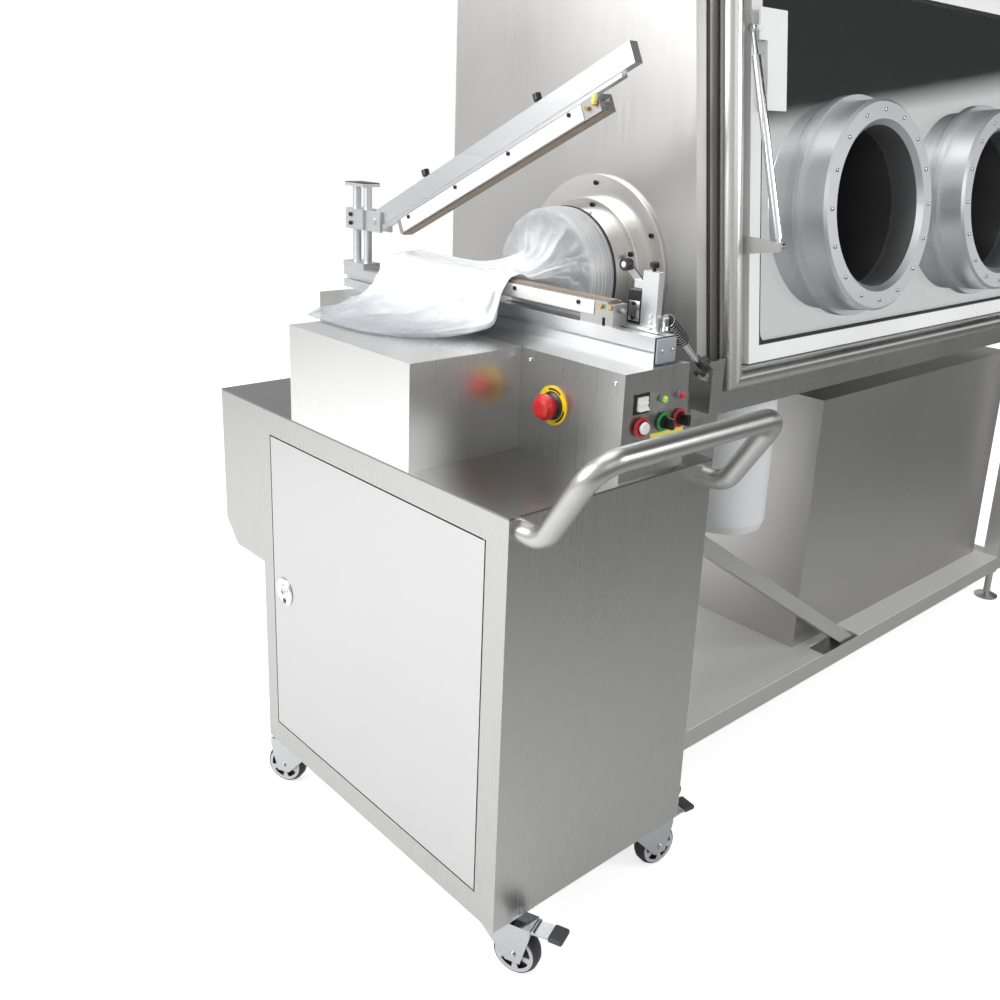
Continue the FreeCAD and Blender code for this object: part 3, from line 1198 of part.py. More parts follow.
# Gloves: a tapering sleeve with a closed end, hanging from each port into the chamber.
def glove_sleeves():
    sleeves = []
    mouth = S.port_bore - S.sleeve_wall / 4
    w = S.sleeve_wall
    long = S.sleeve_length
    for name, x in PORTS:
        sleeve = turned(name + "_sleeve", [
            (mouth, 0), (S.sleeve_end * 2, long * 0.55), (S.sleeve_end, long), (0, long),
            (0, long - w), (S.sleeve_end - w, long - w), (S.sleeve_end * 2 - w, long * 0.55),
            (mouth - w, 0)], "+Y")
        sleeves.append(place(sleeve, x, GLASS_FRONT, S.port_up, (1, 0, 0), -90))
    return fronted("glove_sleeves", group("sleeves", *sleeves))


# Gas struts: body and rod along one line, each built from the foot's eye upward.
STRUT_RISE = STRUT_HEAD_Z - STRUT_FOOT_Z
STRUT_SET = S.strut_head_y - S.strut_foot_y
STRUT_LENGTH = root(STRUT_RISE * STRUT_RISE + STRUT_SET * STRUT_SET)
STRUT_LEAN = -arc_tangent(STRUT_SET / STRUT_RISE)


def gas_strut_cylinders():
    bodies = []
    for name, x, side in STRUTS:
        eye = rod(name + "_foot_eye", x - S.strut_eye / 2, 0, 0, S.strut_ball, S.strut_eye, "+X")
        neck = rod(name + "_neck", x, 0, 0, S.strut_rod_radius, 2 * S.strut_ball)
        barrel = rod(name + "_barrel", x, 0, 2 * S.strut_ball - 1, S.strut_radius - 0.5, S.strut_body)
        hole = rod(name + "_eye_bore", x - S.strut_eye, 0, 0, S.stud_radius + S.bore_clearance,
                   2 * S.strut_eye, "+X")
        bore = rod(name + "_rod_bore", x, 0, 3 * S.strut_ball, S.strut_rod_radius + S.bore_clearance,
                   S.strut_body)
        bodies.append(cut(name + "_cylinder", fuse(name + "_solid", eye, neck, barrel), hole, bore))
    return sub_part("gas_strut_cylinders", group("strut_cylinders", *bodies), 0, S.strut_foot_y,
                    STRUT_FOOT_Z, (1, 0, 0), STRUT_LEAN)


def gas_strut_rods():
    rods = []
    for name, x, side in STRUTS:
        stem = rod(name + "_rod", x, 0, 4 * S.strut_ball, S.strut_rod_radius,
                   STRUT_LENGTH - 4 * S.strut_ball)
        eye = rod(name + "_head_eye", x - S.strut_eye / 2, 0, STRUT_LENGTH, S.strut_ball,
                  S.strut_eye, "+X")
        rods.append(fuse(name + "_rod_with_eye", stem, eye))
    return sub_part("gas_strut_rods", group("strut_rods", *rods), 0, S.strut_foot_y,
                    STRUT_FOOT_Z, (1, 0, 0), STRUT_LEAN)


# Bag port on the left wall: flange, stepped ring and the collar that the bag is gathered on.
def bag_port_flange():
    ring = S.flange_thickness + S.ring_thickness
    flange = turned("flange", [
        (S.collar_radius, 0), (S.flange_radius, 0), (S.flange_radius, S.flange_thickness - 1),
        (S.flange_radius - 1, S.flange_thickness), (S.ring_radius, S.flange_thickness),
        (S.ring_radius, ring - S.sheet), (S.ring_radius - S.sheet, ring), (S.collar_radius, ring)], "-X")
    return sub_part("bag_port_flange", flange, S.chamber_left, S.bag_port_y, BAG_PORT_Z)


def bag_port_collar():
    r = S.collar_radius
    w = S.collar_wall
    collar = turned("collar", [
        (r - w, -S.collar_inside), (r, -S.collar_inside), (r, S.collar_length - w / 2),
        (r - w / 2, S.collar_length), (r - w, S.collar_length)], "-X")
    return sub_part("bag_port_collar", collar, S.chamber_left, S.bag_port_y, BAG_PORT_Z)


# Liner bag: full at the collar, necked, then flat over the jaw and down on the step box.
def liner_bag():
    collar_end = S.chamber_left.number - S.collar_length.number - S.touch_gap.number
    port_y = S.bag_port_y.number
    port_z = BAG_PORT_Z.number
    round_radius = S.collar_radius.number
    gap = S.touch_gap.number
    over_jaw = STRIP_TOP.number + gap + S.film_half.number
    on_box = HOUSING_TOP.number + gap + S.fold_half.number
    lay = S.bag_lay_flat.number / 2
    axis = S.jaw_axis.number
    clear = S.jaw_width.number
    box_edge = S.step_depth.number
    spread_y = port_y + S.bag_drift.number
    sections = [
        (collar_end, port_y, port_z, round_radius, round_radius),
        (collar_end - round_radius / 4, port_y, (port_z + over_jaw) / 2 + S.fold_half.number,
         round_radius * 0.85, round_radius * 0.7),
        (axis + 2.5 * clear, (port_y + spread_y) / 2, over_jaw + S.fold_half.number, lay * 0.6,
         2 * S.fold_half.number - gap),
        (axis + clear, spread_y, over_jaw, lay * 0.9, S.film_half.number),
        (axis - clear, spread_y, over_jaw, lay * 0.95, S.film_half.number),
        (box_edge - S.fold_half.number, (port_y + spread_y) / 2, on_box + S.fold_half.number, lay,
         S.fold_half.number),
        (box_edge / 2, port_y + S.fold_half.number, on_box, lay, S.fold_half.number),
        (S.tail_from_edge.number, port_y, on_box, lay * 0.97, S.fold_half.number),
    ]
    wires = []
    for x, y, z, wide, high in sections:
        curve = []
        for number in range(16):
            angle = math.radians(number * 22.5)
            curve.append(FreeCAD.Vector(x, y + wide * math.cos(angle), z + high * math.sin(angle)))
        wires.append(Part.makePolygon(curve + [curve[0]]))
    bag = doc.addObject("Part::Feature", "bag_shape")
    bag.Shape = Part.makeLoft(wires, True, True)
    return sub_part("liner_bag", bag, 0, 0, 0)


# Stand: welded square tube with top rails, base rails, four legs and a front brace.
LEG_X = (S.chamber_left, CHAMBER_RIGHT - S.tube)
LEG_Y = (S.rail_front, S.rear - S.tube)
TOP_RAIL = S.chamber_bottom - S.tube


def stand_frame():
    pieces = []
    for number, x in enumerate(LEG_X):
        for depth, y in enumerate(LEG_Y):
            pieces.append(box("leg_%d_%d" % (number, depth), x, y, S.base_low, S.tube, S.tube,
                              S.chamber_bottom - S.base_low))
        for low_name, z in (("top_side", TOP_RAIL), ("base_side", S.base_low)):
            pieces.append(box("%s_%d" % (low_name, number), x, S.rail_front, z, S.tube,
                              S.rear - S.rail_front, S.tube))
    for depth, y in enumerate(LEG_Y):
        for low_name, z in (("top_rail", TOP_RAIL), ("base_rail", S.base_low)):
            pieces.append(box("%s_%d" % (low_name, depth), S.chamber_left, y, z,
                              S.chamber_width, S.tube, S.tube))
    drop = S.brace_high - S.base_low - S.tube / 2
    lean = arc_tangent(S.brace_run / drop)
    length = root(drop * drop + S.brace_run * S.brace_run)
    brace = box("brace", -S.brace_tube / 2, 0, -length, S.brace_tube, S.brace_tube, length)
    brace_holder = group("brace_at_head", brace)
    place(brace_holder, S.chamber_left + S.tube / 2, S.rail_front + (S.tube - S.brace_tube) / 2,
          S.brace_high, (0, 1, 0), -lean)
    pieces.append(brace_holder)
    return sub_part("stand_frame", fuse("frame_tubes", *pieces), 0, 0, 0)


def base_pan():
    pan = box("pan_sheet", S.chamber_left, S.rail_front, S.base_low + S.tube, S.chamber_width,
              S.rear - S.rail_front, S.sheet)
    notches = []
    for number, x in enumerate(LEG_X):
        for depth, y in enumerate(LEG_Y):
            notches.append(box("notch_%d_%d" % (number, depth), x, y, S.base_low, S.tube, S.tube,
                               2 * S.tube))
    brace_foot = box("brace_notch", S.chamber_left + S.brace_run - 4 * S.brace_tube, S.rail_front,
                     S.base_low, 5 * S.brace_tube, S.tube, 2 * S.tube)
    return sub_part("base_pan", cut("pan", pan, *notches, brace_foot), 0, 0, 0)


def levelling_feet():
    feet = []
    r = S.foot_radius
    top = S.base_low
    nut = S.foot_stem * 1.6
    for number, x in enumerate(LEG_X):
        for depth, y in enumerate(LEG_Y):
            foot = turned("foot_%d_%d" % (number, depth), [
                (0, 0), (r - S.sheet, 0), (r, S.sheet), (r, S.foot_height / 2),
                (r / 2, S.foot_height), (S.foot_stem, S.foot_height + S.sheet),
                (S.foot_stem, top - S.foot_height), (nut, top - S.foot_height), (nut, top), (0, top)])
            feet.append(place(foot, x + S.tube / 2, y + S.tube / 2, 0))
    return sub_part("levelling_feet", group("feet", *feet), 0, 0, 0)


# Waste bin that hangs under the chamber's floor.
def waste_bin():
    r = S.bin_radius
    w = S.bin_wall
    high = S.chamber_bottom - BIN_BOTTOM
    bin_body = turned("bin", [
        (0, 0), (r - S.bin_round, 0), (r - S.bin_round / 4, S.bin_round / 4), (r, S.bin_round), (r, high),
        (r - w, high), (r - w, S.bin_round), (r - S.bin_round, w), (0, w)])
    return sub_part("waste_bin", bin_body, S.bin_x, S.bin_y, BIN_BOTTOM)


# Service cabinet on the base pan under the right half of the chamber.
def under_cabinet():
    left = S.chamber_left + S.under_left
    front = S.rail_front + S.under_front
    case = open_box("service_case", left, front, S.base_low + S.tube + S.sheet,
                    S.chamber_width - S.under_left - S.under_side, S.rear - S.under_side - front,
                    TOP_RAIL - S.base_low - S.tube - S.under_side, S.sheet, S.sheet)
    return sub_part("under_cabinet", case, 0, 0, 0)


# Bracket on the stand's near leg, slotted for the end of the docking rod.
def docking_bracket():
    flange = box("dock_flange", S.dock_left, S.rail_front - S.dock_flange, DOCK_LOW,
                 S.chamber_left + S.tube - S.dock_left, S.dock_flange, DOCK_HIGH - DOCK_LOW)
    plate = box("dock_plate", S.dock_left, S.dock_near, DOCK_LOW + S.tube / 2, S.dock_plate,
                S.rail_front - S.dock_near, DOCK_HIGH - DOCK_LOW - S.tube / 2)
    slot = box("dock_slot", S.dock_left - S.dock_plate, S.dock_slot_near, DOCK_SLOT_LOW,
               3 * S.dock_plate, S.dock_slot_width, S.tube * 2)
    return sub_part("docking_bracket", fuse("dock", flange, cut("dock_fork", plate, slot)), 0, 0, 0)


cabinet_shell()
worktop_deck()
step_box()
control_housing()
push_handle()
cabinet_door()
door_lock()
door_lock_cam()
castor_plates()
for castor, castor_x, castor_y, castor_turn, has_brake in CASTORS:
    castor_fork(castor, castor_x, castor_y, castor_turn)
    castor_wheel(castor, castor_x, castor_y, castor_turn)
    if has_brake:
        castor_brake(castor, castor_x, castor_y, castor_turn)
base_bar()
lower_jaw()
lower_sealing_strip()
pivot_post()
pivot_clamp()
upper_arm()
arm_guide_pins()
upper_jaw()
upper_sealing_strip()
latch_post()
latch_lever()
limit_switch()
docking_rod()
docking_knob()
emergency_stop_plate()
emergency_stop_button()
rocker_switch()
pilot_lamps()
selector("green_selector", S.selector_green_x)
selector("red_selector", S.selector_red_x)
seal_button()
panel_bezels()
impulse_transformer()
chamber_shell()
filter_housings()
front_tube_frame()
window_sash()
window_glass()
glove_port_rings()
glove_sleeves()
gas_strut_cylinders()
gas_strut_rods()
bag_port_flange()
bag_port_collar()
liner_bag()
stand_frame()
base_pan()
levelling_feet()
waste_bin()
under_cabinet()
docking_bracket()

doc.recompute()
for item in doc.Objects:
    if "Invalid" in item.State or "Error" in item.State:
        raise RuntimeError("%s did not build: %s" % (item.Name, item.State))

os.makedirs("parts", exist_ok=True)
for node in NODES:
    shape = node.Shape
    if shape.isNull() or not shape.isValid() or not shape.Solids:
        raise RuntimeError("%s has no valid solid" % node.Label)
    shape.exportStep(os.path.join("parts", node.Label + ".step"))
print("%d nodes written" % len(NODES))
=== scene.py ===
# %% [markdown]
# # A containment isolator with its bag sealing trolley
#
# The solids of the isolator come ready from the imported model, in metres, with the floor at zero.
# This lesson dresses them: a camera and a plain studio first, then the finishes of steel, paint,
# plastic and rubber, and then the small and soft pieces that a solid model leaves out.

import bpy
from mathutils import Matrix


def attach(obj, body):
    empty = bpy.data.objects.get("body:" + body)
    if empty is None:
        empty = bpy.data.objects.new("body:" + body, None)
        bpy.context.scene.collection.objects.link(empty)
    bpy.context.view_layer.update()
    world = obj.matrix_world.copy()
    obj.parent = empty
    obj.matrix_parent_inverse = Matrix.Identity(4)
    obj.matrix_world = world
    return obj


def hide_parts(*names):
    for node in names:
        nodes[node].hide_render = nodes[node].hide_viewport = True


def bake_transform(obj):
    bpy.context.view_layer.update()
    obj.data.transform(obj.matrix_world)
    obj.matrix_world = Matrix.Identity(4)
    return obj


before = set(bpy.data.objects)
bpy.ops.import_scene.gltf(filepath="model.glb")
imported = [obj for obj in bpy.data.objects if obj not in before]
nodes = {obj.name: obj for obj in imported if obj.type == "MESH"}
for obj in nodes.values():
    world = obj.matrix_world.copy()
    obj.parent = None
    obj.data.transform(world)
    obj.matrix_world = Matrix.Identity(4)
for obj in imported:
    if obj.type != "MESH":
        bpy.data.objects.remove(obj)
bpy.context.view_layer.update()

import math

import bmesh
import bpy
from mathutils import Matrix, Vector, noise

bpy.ops.object.select_all(action="DESELECT")
print("nodes loaded:", len(nodes))

# %% [markdown]
# ## The camera
#
# The photograph was taken from in front and to the left, about at chest height, looking slightly
# down. Its three directions are written as unit vectors, and a matrix with these as columns turns
# the camera. The lens is given by how many pixels a metre covers at one metre, for a 1000 pixel
# frame on a 36 mm sensor.

# %% Camera
SENSOR = 36.0
PIXELS = 1000.0
FOCAL_PIXELS = 1029.5
CENTRE_PIXEL = (512.9, 426.2)
camera_data = bpy.data.cameras.new("camera")
camera_data.sensor_width = SENSOR
camera_data.lens = SENSOR * FOCAL_PIXELS / PIXELS
camera_data.shift_x = (PIXELS / 2 - CENTRE_PIXEL[0]) / PIXELS
camera_data.shift_y = (CENTRE_PIXEL[1] - PIXELS / 2) / PIXELS
camera = bpy.data.objects.new("camera", camera_data)
bpy.context.scene.collection.objects.link(camera)
forward = Vector((0.64704, 0.70643, -0.28687)).normalized()
right = Vector((0.74456, -0.66647, 0.03817)).normalized()
up = right.cross(forward).normalized()
turn = Matrix((right, up, -forward)).transposed()
camera.matrix_world = Matrix.Translation((-1.8332, -1.2525, 1.2469)) @ turn.to_4x4()
camera_data.clip_end = 40.0
bpy.context.scene.camera = camera
print("lens in mm:", round(camera_data.lens, 2))

# %% [markdown]
# ## The studio
#
# A product photograph on white paper is a large pale floor under big soft lamps. The paper shows
# pure white to the camera, yet the floor must still catch a faint shadow. So its material adds a
# little glow, only where a camera or a reflection looks at it, to a plain diffuse surface. To the
# right of the camera, outside the picture, the studio's floor was dark, and only the steel that
# faces that way shows it. So in reflections the paper fades to a dark grey in that direction.

# %% Helpers for nodes
def node_in(tree, kind, **settings):
    """Adds a node to a tree and gives it its settings."""
    made = tree.nodes.new(kind)
    for key, value in settings.items():
        setattr(made, key, value)
    return made


def spread_over(tree, source, from_low, from_high, to_low, to_high):
    """Spreads one range of values over another."""
    spread = node_in(tree, "ShaderNodeMapRange")
    ends = {"From Min": from_low, "From Max": from_high, "To Min": to_low, "To Max": to_high}
    for socket, value in ends.items():
        spread.inputs[socket].default_value = value
    tree.links.new(source, spread.inputs["Value"])
    return spread.outputs["Result"]


def maths(tree, operation, first, second):
    """A Math node on two values, each the output of a node or a plain number."""
    made = node_in(tree, "ShaderNodeMath", operation=operation)
    for socket, value in zip(made.inputs, (first, second)):
        if isinstance(value, float):
            socket.default_value = value
        else:
            tree.links.new(value, socket)
    return made.outputs[0]


print("nodes can be added")

# %% Floor
FLOOR_SIDE = 16.0
PAPER_GREY = 0.8
PAPER_GLOW = 0.68
GLOW_IN_METAL = 0.12
TOWARD_DARK = (0.40, -0.92, 0.0)
DARK_FROM, DARK_TO = -0.2, 1.6
DARK_SHARE = 0.84
DARK_GREY = 0.12


def paper_material(name):
    """Diffuse paper that also glows: fully for the camera and glass, less in reflections."""
    material = bpy.data.materials.new(name)
    material.use_nodes = True
    tree = material.node_tree
    tree.nodes.clear()
    link = tree.links.new
    path = node_in(tree, "ShaderNodeLightPath").outputs
    in_metal = maths(tree, "MULTIPLY", path["Is Glossy Ray"], GLOW_IN_METAL)
    through = maths(tree, "MAXIMUM", path["Is Camera Ray"], path["Is Transmission Ray"])
    seen = maths(tree, "MAXIMUM", in_metal, through)
    emission = node_in(tree, "ShaderNodeEmission")
    link(maths(tree, "MULTIPLY", seen, PAPER_GLOW), emission.inputs["Strength"])
    diffuse = node_in(tree, "ShaderNodeBsdfDiffuse")
    diffuse.inputs["Color"].default_value = (PAPER_GREY, PAPER_GREY, PAPER_GREY, 1)
    paper = node_in(tree, "ShaderNodeAddShader")
    link(diffuse.outputs[0], paper.inputs[0])
    link(emission.outputs[0], paper.inputs[1])
    place = node_in(tree, "ShaderNodeTexCoord")
    away = node_in(tree, "ShaderNodeVectorMath", operation="DOT_PRODUCT")
    away.inputs[1].default_value = TOWARD_DARK
    link(place.outputs["Object"], away.inputs[0])
    fade = spread_over(tree, away.outputs["Value"], DARK_FROM, DARK_TO, 0.0, DARK_SHARE)
    dark = node_in(tree, "ShaderNodeBsdfDiffuse")
    dark.inputs["Color"].default_value = (DARK_GREY, DARK_GREY, DARK_GREY, 1)
    mix = node_in(tree, "ShaderNodeMixShader")
    link(maths(tree, "MULTIPLY", fade, path["Is Glossy Ray"]), mix.inputs["Fac"])
    link(paper.outputs[0], mix.inputs[1])
    link(dark.outputs[0], mix.inputs[2])
    link(mix.outputs[0], node_in(tree, "ShaderNodeOutputMaterial").inputs["Surface"])
    return material


bpy.ops.mesh.primitive_plane_add(size=FLOOR_SIDE, location=(0, 0, 0))
floor = bpy.context.object
floor.name = "studio_floor"
floor.data.materials.append(paper_material("floor_paper"))
print("floor side in m:", FLOOR_SIDE)

# %% [markdown]
# The walls of the studio are the world. They are bright on the left and at the back, and dimmer
# towards the front right. In the glass of the window the photograph shows a white wall that ends a
# little above the lens, and darkness over it. So one sector of the world, to the front right, is
# white up to that height and nearly black from there on.

# %% World
TOWARD_WINDOW = (0.83, -0.55, 0.0)
SECTOR_EDGE, SECTOR_FULL = 0.45, 0.8
TOWARD_DIM = (0.80, -0.60, 0.0)
BRIGHT_FROM, DIM_FROM = -0.4, 0.9
BRIGHT, DIM = 0.95, 0.26
WALL_WHITE_TO, WALL_DARK_FROM = 0.125, 0.145
WALL_WHITE, WALL_DARK = 1.0, 0.06
world = bpy.data.worlds.new("studio_world")
bpy.context.scene.world = world
world.use_nodes = True
tree = world.node_tree
tree.nodes.clear()
direction = node_in(tree, "ShaderNodeTexCoord").outputs["Generated"]


def toward(way):
    """How far the direction that is looked in agrees with a way."""
    agree = node_in(tree, "ShaderNodeVectorMath", operation="DOT_PRODUCT")
    agree.inputs[1].default_value = way
    tree.links.new(direction, agree.inputs[0])
    return agree.outputs["Value"]


height = node_in(tree, "ShaderNodeSeparateXYZ")
tree.links.new(direction, height.inputs[0])
sector = spread_over(tree, toward(TOWARD_WINDOW), SECTOR_EDGE, SECTOR_FULL, 0.0, 1.0)
side = spread_over(tree, toward(TOWARD_DIM), BRIGHT_FROM, DIM_FROM, BRIGHT, DIM)
wall = spread_over(tree, height.outputs["Z"], WALL_WHITE_TO, WALL_DARK_FROM, WALL_WHITE, WALL_DARK)
choose = node_in(tree, "ShaderNodeMix")
tree.links.new(sector, choose.inputs["Factor"])
tree.links.new(side, choose.inputs["A"])
tree.links.new(wall, choose.inputs["B"])
sky = node_in(tree, "ShaderNodeBackground")
tree.links.new(choose.outputs["Result"], sky.inputs["Strength"])
white = node_in(tree, "ShaderNodeBackground")
white.inputs["Color"].default_value = (1, 1, 1, 1)
mix = node_in(tree, "ShaderNodeMixShader")
tree.links.new(node_in(tree, "ShaderNodeLightPath").outputs["Is Camera Ray"], mix.inputs["Fac"])
tree.links.new(sky.outputs[0], mix.inputs[1])
tree.links.new(white.outputs[0], mix.inputs[2])
tree.links.new(mix.outputs[0], node_in(tree, "ShaderNodeOutputWorld").inputs["Surface"])
print("world nodes:", len(tree.nodes))

# %% Lamps
def softbox(name, place, aim, width, height, power):
    """A large area lamp that looks from place to aim."""
    data = bpy.data.lights.new(name, "AREA")
    data.shape = "RECTANGLE"
    data.size = width
    data.size_y = height
    data.energy = power
    lamp = bpy.data.objects.new(name, data)
    bpy.context.scene.collection.objects.link(lamp)
    lamp.location = place
    lamp.rotation_euler = (Vector(aim) - Vector(place)).to_track_quat("-Z", "Y").to_euler()


LAMPS = {
    # where it stands, where it looks, width and height in metres, power in watts
    "key_lamp": ((-3.4, 0.6, 2.4), (-0.7, 0.0, 0.7), 2.4, 2.4, 62.0),
    "fill_lamp": ((-1.2, -3.6, 2.2), (-0.4, 0.0, 0.8), 2.2, 1.6, 10.0),
    "left_floor_lamp": ((-3.2, 1.7, 2.4), (-2.9, 1.6, 0.0), 2.4, 2.4, 62.0),
    "window_lamp": ((0.9, -2.6, 1.9), (0.4, -0.2, 1.35), 1.2, 0.9, 28.0),
    "top_lamp": ((-0.6, 0.2, 3.6), (-0.4, 0.0, 0.6), 3.0, 2.4, 40.0),
}
for name, values in LAMPS.items():
    softbox(name, *values)

# %% [markdown]
# ## Finishes
#
# Every finish is worked out from the place on the object in metres. Brushed steel is a metal whose
# roughness and bump come from a noise that is stretched along the brushing, so that it reads as
# fine parallel scratches. A second, broad noise varies the tone as handling and cleaning do.

# %% Helpers for materials
NOISE_LOW, NOISE_HIGH = 0.3, 0.7
PATCH_SCALE = 3.0
PEEL_SCALE = 900.0
MARK_SCALE = 7.0


def new_finish(name):
    """An empty material: itself, its node tree and its shader."""
    material = bpy.data.materials.new(name)
    material.use_nodes = True
    return material, material.node_tree, material.node_tree.nodes["Principled BSDF"]


def noise_on(tree, scale, detail):
    """Noise on object coordinates, with its own scale along each axis."""
    place = node_in(tree, "ShaderNodeTexCoord")
    mapping = node_in(tree, "ShaderNodeMapping")
    mapping.inputs["Scale"].default_value = scale
    grain = node_in(tree, "ShaderNodeTexNoise")
    grain.inputs["Scale"].default_value = 1.0
    grain.inputs["Detail"].default_value = detail
    tree.links.new(place.outputs["Object"], mapping.inputs["Vector"])
    tree.links.new(mapping.outputs["Vector"], grain.inputs["Vector"])
    return grain.outputs["Fac"]


def ranged(tree, source, low, high):
    """A noise's value spread over low to high."""
    return spread_over(tree, source, NOISE_LOW, NOISE_HIGH, low, high)


def two_tones(tree, shader, share, first, second):
    """Base colour between two tones, by a share that changes over the surface."""
    tones = node_in(tree, "ShaderNodeMix", data_type="RGBA")
    tones.inputs["A"].default_value = (*first, 1)
    tones.inputs["B"].default_value = (*second, 1)
    tree.links.new(share, tones.inputs["Factor"])
    tree.links.new(tones.outputs["Result"], shader.inputs["Base Color"])


def raised(tree, shader, height, strength, distance):
    """Bump from a height."""
    relief = node_in(tree, "ShaderNodeBump")
    relief.inputs["Strength"].default_value = strength
    relief.inputs["Distance"].default_value = distance
    tree.links.new(height, relief.inputs["Height"])
    tree.links.new(relief.outputs["Normal"], shader.inputs["Normal"])


def darker(tone, wear):
    """A tone that is darker by a share."""
    return tuple(part * (1 - wear) for part in tone)


def brushed(name, tone, grain, rough, bump=0.02, spread=0.05, metallic=1.0, wear=0.06):
    """Brushed metal: grain gives the scale of the scratches along x, y and z."""
    material, tree, shader = new_finish(name)
    scratches = noise_on(tree, grain, 3.0)
    patches = noise_on(tree, (PATCH_SCALE, PATCH_SCALE, PATCH_SCALE), 4.0)
    broad = maths(tree, "MULTIPLY", ranged(tree, patches, 0.0, 0.9), 0.5)
    share = maths(tree, "ADD", ranged(tree, scratches, 0.0, 0.6), broad)
    two_tones(tree, shader, share, darker(tone, wear), tone)
    fine = ranged(tree, scratches, rough - spread, rough + spread)
    roughness = maths(tree, "ADD", fine, ranged(tree, patches, -0.03, 0.03))
    tree.links.new(roughness, shader.inputs["Roughness"])
    shader.inputs["Metallic"].default_value = metallic
    raised(tree, shader, scratches, bump, 0.001)
    return material


def coated(name, tone, rough, bump=0.05, metallic=0.0, wear=0.05, coat=0.0):
    """Paint, plastic or rubber: fine orange peel, and broad faint marks."""
    material, tree, shader = new_finish(name)
    peel = noise_on(tree, (PEEL_SCALE, PEEL_SCALE, PEEL_SCALE), 2.0)
    marks = noise_on(tree, (MARK_SCALE, MARK_SCALE, MARK_SCALE), 5.0)
    two_tones(tree, shader, ranged(tree, marks, 0.0, 1.0), darker(tone, wear), tone)
    tree.links.new(ranged(tree, marks, rough - 0.05, rough + 0.05), shader.inputs["Roughness"])
    shader.inputs["Metallic"].default_value = metallic
    shader.inputs["Coat Weight"].default_value = coat
    raised(tree, shader, peel, bump, 0.0005)
    return material


def wear(material, *names):
    """Puts a finish on the named solids."""
    for name in names:
        part = nodes[name]
        if not part.material_slots:
            part.data.materials.append(material)
        for holder in part.material_slots:
            holder.material = material


print("finishes can be made")

# %% Turned metal
RING_SCALE = 1800.0


def turned_finish(name, tone, centre, rough):
    """Steel turned on a lathe whose axis runs along x: the scratches are circles about centre."""
    material, tree, shader = new_finish(name)
    place = node_in(tree, "ShaderNodeTexCoord")
    mapping = node_in(tree, "ShaderNodeMapping")
    mapping.inputs["Location"].default_value = (0, -centre[1], -centre[2])
    mapping.inputs["Scale"].default_value = (0, 1, 1)
    tree.links.new(place.outputs["Object"], mapping.inputs["Vector"])
    reach = node_in(tree, "ShaderNodeVectorMath", operation="LENGTH")
    tree.links.new(mapping.outputs["Vector"], reach.inputs[0])
    rings = node_in(tree, "ShaderNodeTexNoise", noise_dimensions="1D")
    rings.inputs["Scale"].default_value = RING_SCALE
    rings.inputs["Detail"].default_value = 2.0
    tree.links.new(reach.outputs["Value"], rings.inputs["W"])
    shader.inputs["Base Color"].default_value = (*tone, 1)
    shader.inputs["Metallic"].default_value = 1.0
    roughness = ranged(tree, rings.outputs["Fac"], rough - 0.05, rough + 0.05)
    tree.links.new(roughness, shader.inputs["Roughness"])
    raised(tree, shader, rings.outputs["Fac"], 0.008, 0.0005)
    return material


print("turned steel can be made")

# %% Steel of the trolley and the isolator
# from the origin of the frame back to the trolley's near left corner, in metres
SHIFT = Vector((1.0035, 0.347, 0.0))
# scales of the scratches along x, y and z: few along the brushing, many across it
UP = (900.0, 900.0, 6.0)
ALONG_Y = (900.0, 6.0, 900.0)
ALONG_X = (6.0, 900.0, 900.0)
FINE = (1400.0, 1400.0, 1400.0)
BAG_PORT = Vector((0.560, 0.407, 0.981)) - SHIFT
trolley_steel = brushed("trolley_steel", (0.50, 0.50, 0.495), UP, 0.31, bump=0.03)
wear(trolley_steel, "cabinet_shell", "control_housing")
door_steel = brushed("door_steel", (0.60, 0.605, 0.60), UP, 0.38, bump=0.03)
wear(door_steel, "cabinet_door")
step_steel = brushed("step_steel", (0.78, 0.78, 0.775), UP, 0.29, bump=0.012, spread=0.02, wear=0.02)
wear(step_steel, "step_box")
deck_steel = brushed("deck_steel", (0.24, 0.24, 0.24), ALONG_Y, 0.34, bump=0.03)
wear(deck_steel, "worktop_deck")
wall_steel = brushed("wall_steel", (0.55, 0.545, 0.54), UP, 0.34, bump=0.05)
wear(wall_steel, "chamber_shell", "under_cabinet")
# the base pan's pale tone and low metallic are painted light, standing in for light from the back and
# right
wear(brushed("pan_steel_painted_light", (0.86, 0.86, 0.85), ALONG_X, 0.5, bump=0.03, metallic=0.45), "base_pan")
tube_steel = brushed("tube_steel", (0.64, 0.64, 0.63), FINE, 0.26, bump=0.008, wear=0.03)
wear(tube_steel, "stand_frame", "front_tube_frame", "levelling_feet", "docking_bracket")
handle_steel = brushed("handle_steel", (0.50, 0.50, 0.49), FINE, 0.34, bump=0.008, wear=0.03)
wear(handle_steel, "push_handle")
turned_steel = turned_finish("turned_steel", (0.72, 0.71, 0.68), BAG_PORT, 0.32)
wear(turned_steel, "bag_port_flange", "bag_port_collar")
print("steel is on the trolley and the isolator")

# %% Other finishes
plated_steel = brushed("plated_steel", (0.58, 0.585, 0.60), (200.0, 200.0, 200.0), 0.13, bump=0.02)
wear(plated_steel, *(n for n in nodes if n.startswith(("castor_plates", "castor_fork", "castor_brake"))))
bright_chrome = brushed("bright_chrome", (0.78, 0.78, 0.79), (60.0, 60.0, 60.0), 0.10,
                        bump=0.006, wear=0.02)
wear(bright_chrome, "gas_strut_rods", "gas_strut_cylinders", "door_lock", "door_lock_cam",
     "docking_rod", "latch_lever")
bar_metal = brushed("anodised_bar", (0.70, 0.715, 0.725), ALONG_Y, 0.36, bump=0.02)
wear(bar_metal, "base_bar", "upper_arm", "pivot_clamp", "latch_post", "pivot_post")
jaw_metal = brushed("jaw_metal", (0.44, 0.44, 0.43), ALONG_Y, 0.38, bump=0.03)
wear(jaw_metal, "lower_jaw", "upper_jaw")
